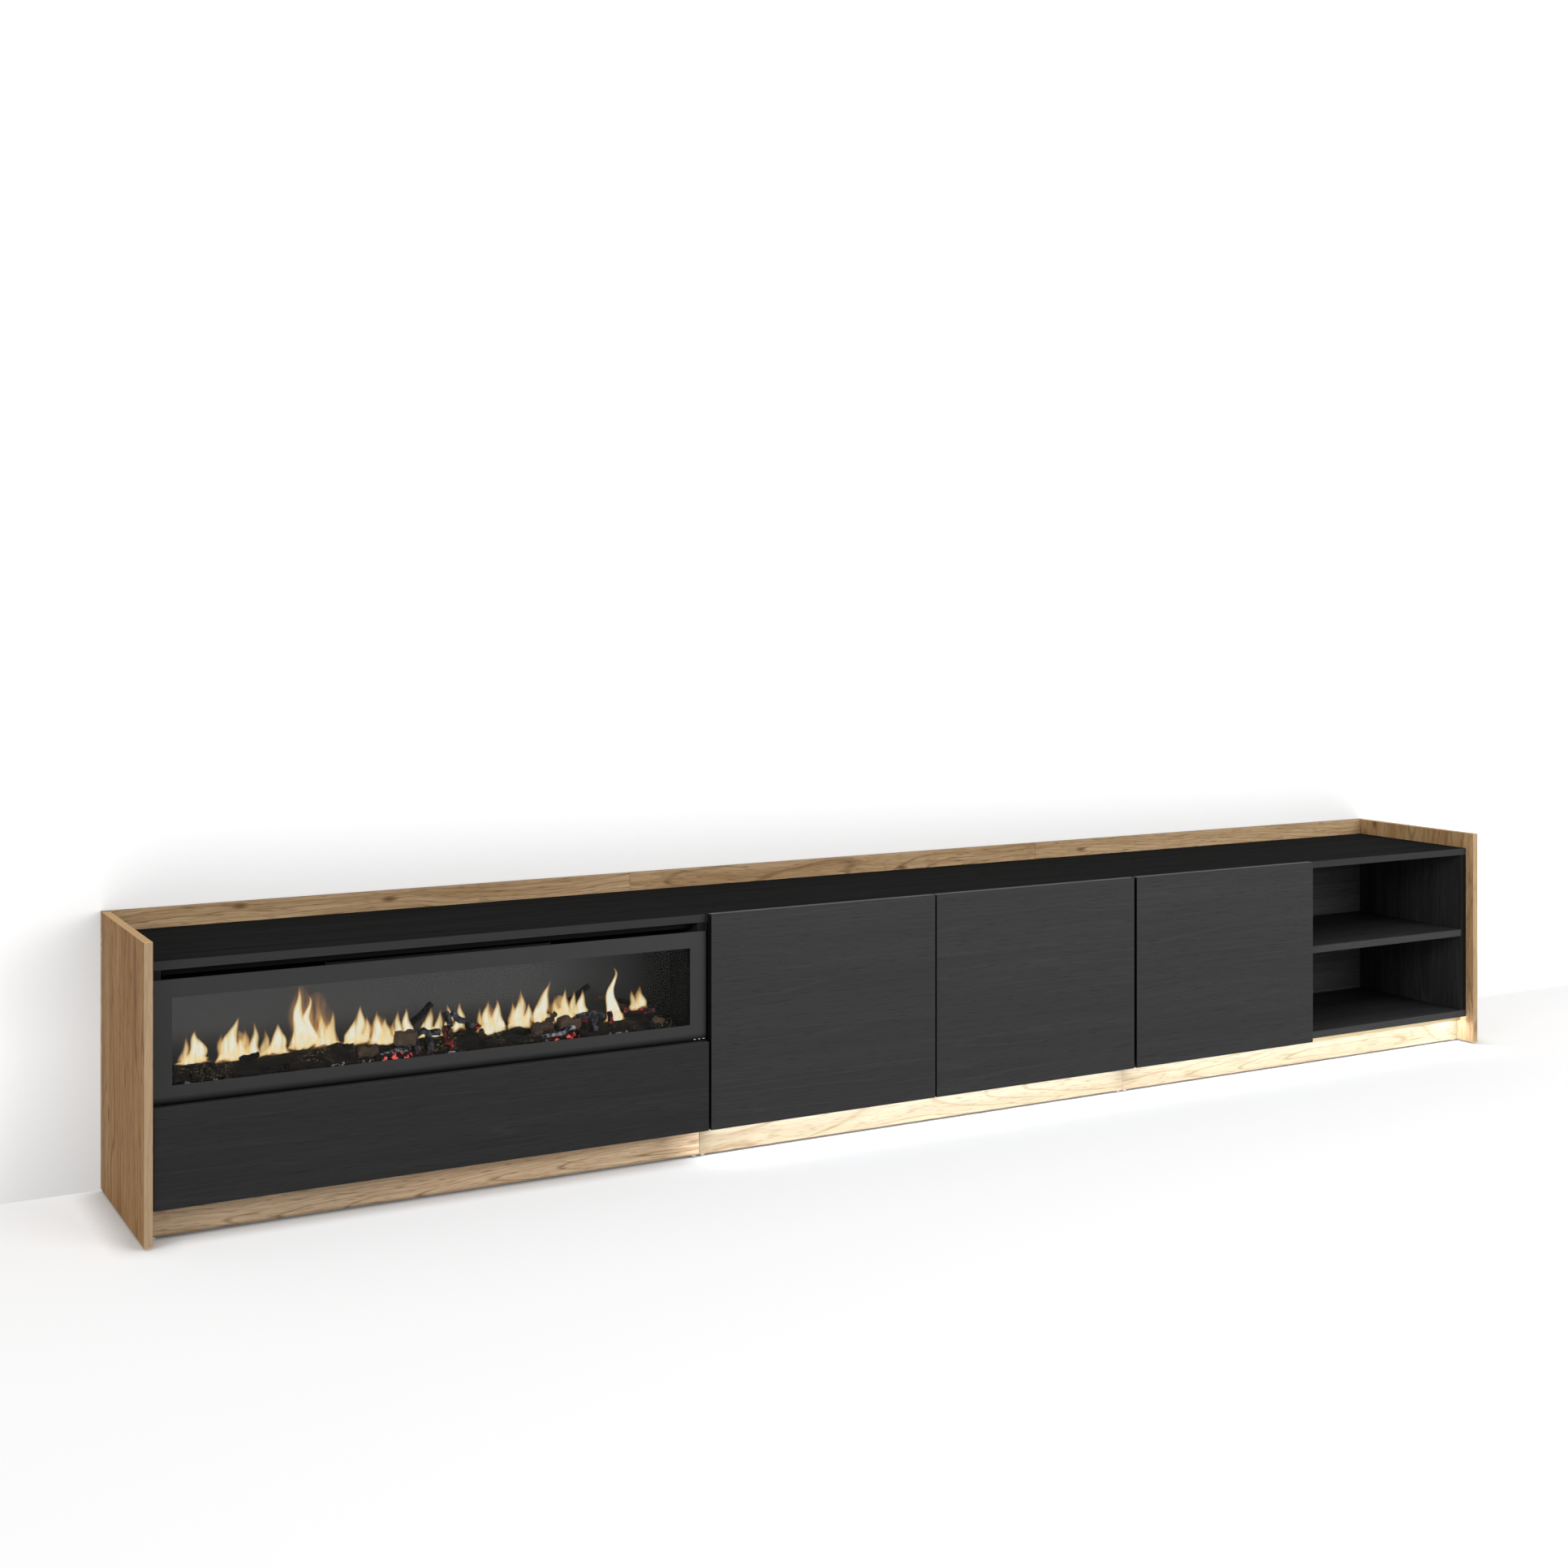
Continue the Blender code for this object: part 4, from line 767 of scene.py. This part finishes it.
def hinge_cup(x, z, side):
    """A cup flange pressed on the door's back: a plate 60 mm tall and 0.25 mm proud, the rim and the
    floor of the 35 mm cup, and two countersunk screws. side points away from the hinge."""
    seat = door_back - 0.0002
    plate = bar((x + side * 0.004 - 0.006, seat, z - 0.030),
                (x + side * 0.004 + 0.006, door_back + 0.00025, z + 0.030), 0.0001)
    rim = turned((x, seat, z), (0, 1, 0), [(0, 0.0150), (0, 0.0175), (0.0004, 0.0175),
                                           (0.00045, 0.0172), (0.00045, 0.0150)], 40, True)
    floor = turned((x, seat, z), (0, 1, 0), [(0, 0.0151), (0.0003, 0.0151), (0.0003, 0.001)], 40)
    screws = [turned((x + side * 0.004, door_back, z + rise), (0, 1, 0),
                     [(0, 0.0038), (0.00038, 0.0038), (0.00045, 0.0035), (0.0003, 0.0012)], 20)
              for rise in (-0.024, 0.024)]
    return [plate, rim, floor] + screws


low_cup, high_cup, flap_cup = 0.135, 0.394, 0.0870
for door, x, side in (("door_1", -0.48735, 1), ("door_2", 0.48735, -1), ("door_3", 0.53765, 1)):
    add_piece(door + "_hinge_cups", hinge_cup(x, low_cup, side) + hinge_cup(x, high_cup, side),
              nickel, door, sharp=30)
add_piece("flap_hinge_cups", hinge_cup(-1.50935, flap_cup, 0) + hinge_cup(-0.54065, flap_cup, 0),
          nickel, "flap", sharp=30)
dress(nickel, *[door + "_hinge_" + end for door in ("door_1", "door_2", "door_3")
                for end in ("low", "high")], "flap_hinge_left", "flap_hinge_right")


# Latch plungers: injection-moulded grey acetal pins, satin and slightly waxy. They slide in bores in
# the boards and push a door or the flap open when it is pressed.
dress(waxy_plastic("grey_acetal", "#8E9092", "#7E8082", 0.42),
      "door_1_plunger", "door_2_plunger", "door_3_plunger", "flap_plunger")


# Room: a pale floor that keeps the stand's shadow, a white wall close behind it that only the camera
# sees, an even sky, one broad soft lamp from the front right and one far off at the left.
def seen_directly(tree):
    """1 for a ray from the camera or from a gloss or glass, so that these show the background too,
    else 0."""
    path = add(tree, "LightPath").node.outputs
    rays = add(tree, "Math", {0: path["Is Camera Ray"], 1: path["Is Glossy Ray"]}, operation="ADD")
    return add(tree, "Math", {0: rays, 1: path["Is Transmission Ray"]}, operation="ADD", use_clamp=True)


def white_ground(name, share, lit, hollow, axes, span, extra, depth=1.0):
    """A matt white ground: diffuse share of the light, and for the camera the rest of white, so that it
    reads white where nothing shades it. It darkens within hollow of the object, by the power depth,
    and extra is added over the span of distances along the axes."""
    material, tree, shader = new_material(name, Roughness=1.0, Specular_IOR_Level=0.0,
                                          Base_Color=(share, share, share, 1))
    seen = add(tree, "Emission", {"Color": (1, 1, 1, 1), "Strength": lit})
    open_air = add(tree, "AmbientOcclusion", {"Distance": hollow}, output="AO")
    open_air = add(tree, "Math", {0: open_air, 1: depth}, operation="POWER")
    away = add(tree, "VectorMath", {0: add(tree, "TexCoord", output="Object"), 1: axes},
               operation="MULTIPLY")
    away = add(tree, "VectorMath", {0: away}, "Value", operation="LENGTH")
    away = add(tree, "MapRange", {0: away, 1: span[0], 2: span[1], 3: extra[0], 4: extra[1]})
    tree.links.new(add(tree, "Math", {0: open_air, 1: lit, 2: away}, operation="MULTIPLY_ADD"),
                   seen.node.inputs[1])
    both = add(tree, "AddShader", {0: shader.outputs[0], 1: seen})
    final = add(tree, "MixShader", {0: seen_directly(tree), 1: shader.outputs[0], 2: both})
    tree.links.new(final, tree.nodes["Material Output"].inputs["Surface"])
    return material, tree, final


def ground(name, corners, material):
    """A flat four-cornered ground that isn't part of the object."""
    mesh = bpy.data.meshes.new(name)
    mesh.from_pydata(corners, [], [(0, 1, 2, 3)])
    mesh.materials.append(material)
    piece = bpy.data.objects.new(name, mesh)
    bpy.context.collection.objects.link(piece)
    return piece


floor_white = white_ground("pale_floor", 0.80, 0.475, 0.06, (1.0, 1.0, 0.0), (2.5, 6.0), (0.0, 0.5),
                           depth=2.0)[0]
ground("floor", [(-14, -14, -0.0006), (14, -14, -0.0006), (14, 14, -0.0006), (-14, 14, -0.0006)],
       floor_white)
wall_white, tree, final = white_ground("white_wall", 0.42, 0.68, 0.28, (0.0, 0.0, 1.0), (0.0, 0.5),
                                       (0.24, 0.07))
away = add(tree, "NewGeometry", output="Backfacing")
clear = add(tree, "BsdfTransparent")
tree.links.new(add(tree, "MixShader", {0: away, 1: final, 2: clear}),
               tree.nodes["Material Output"].inputs["Surface"])
wall = ground("wall", [(-7, 0.1925, 0), (7, 0.1925, 0), (7, 0.1925, 5), (-7, 0.1925, 5)], wall_white)
wall.visible_diffuse = wall.visible_glossy = wall.visible_transmission = False
wall.visible_shadow = wall.visible_volume_scatter = False

sky = bpy.data.worlds.new("studio")
sky.use_nodes = True
bpy.context.scene.world = sky
tree = sky.node_tree
strength = add(tree, "MapRange", {0: seen_directly(tree), 3: 0.40, 4: 1.0})
tree.links.new(strength, tree.nodes["Background"].inputs["Strength"])
tree.nodes["Background"].inputs["Color"].default_value = (1, 1, 1, 1)

for name, power, place, turn in (("lamp_right", 225.0, (2.4, -5.4, 1.9), (74, 20)),
                                 ("lamp_left", 340.0, (-11.5, -5.5, 3.6), (76, -65))):
    lamp = bpy.data.lights.new(name, "AREA")
    lamp.shape = "RECTANGLE"
    lamp.size, lamp.size_y = 4.0, 2.4
    lamp.energy = power
    holder = bpy.data.objects.new(name, lamp)
    holder.location = place
    holder.rotation_euler = (math.radians(turn[0]), 0.0, math.radians(turn[1]))
    bpy.context.collection.objects.link(holder)


# Camera: at the photograph's viewpoint and level, with the frame shifted down, so that upright edges
# stay upright.
lens = bpy.data.cameras.new("camera")
lens.lens = 45.39
lens.sensor_width = 36.0
lens.shift_y = -0.1168
camera = bpy.data.objects.new("camera", lens)
camera.location = (-2.2145, -3.52065, 1.0627)
camera.rotation_euler = (math.radians(90), 0.0, math.radians(-29.186))
bpy.context.collection.objects.link(camera)
bpy.context.scene.camera = camera
bpy.context.scene.view_settings.view_transform = "Standard"
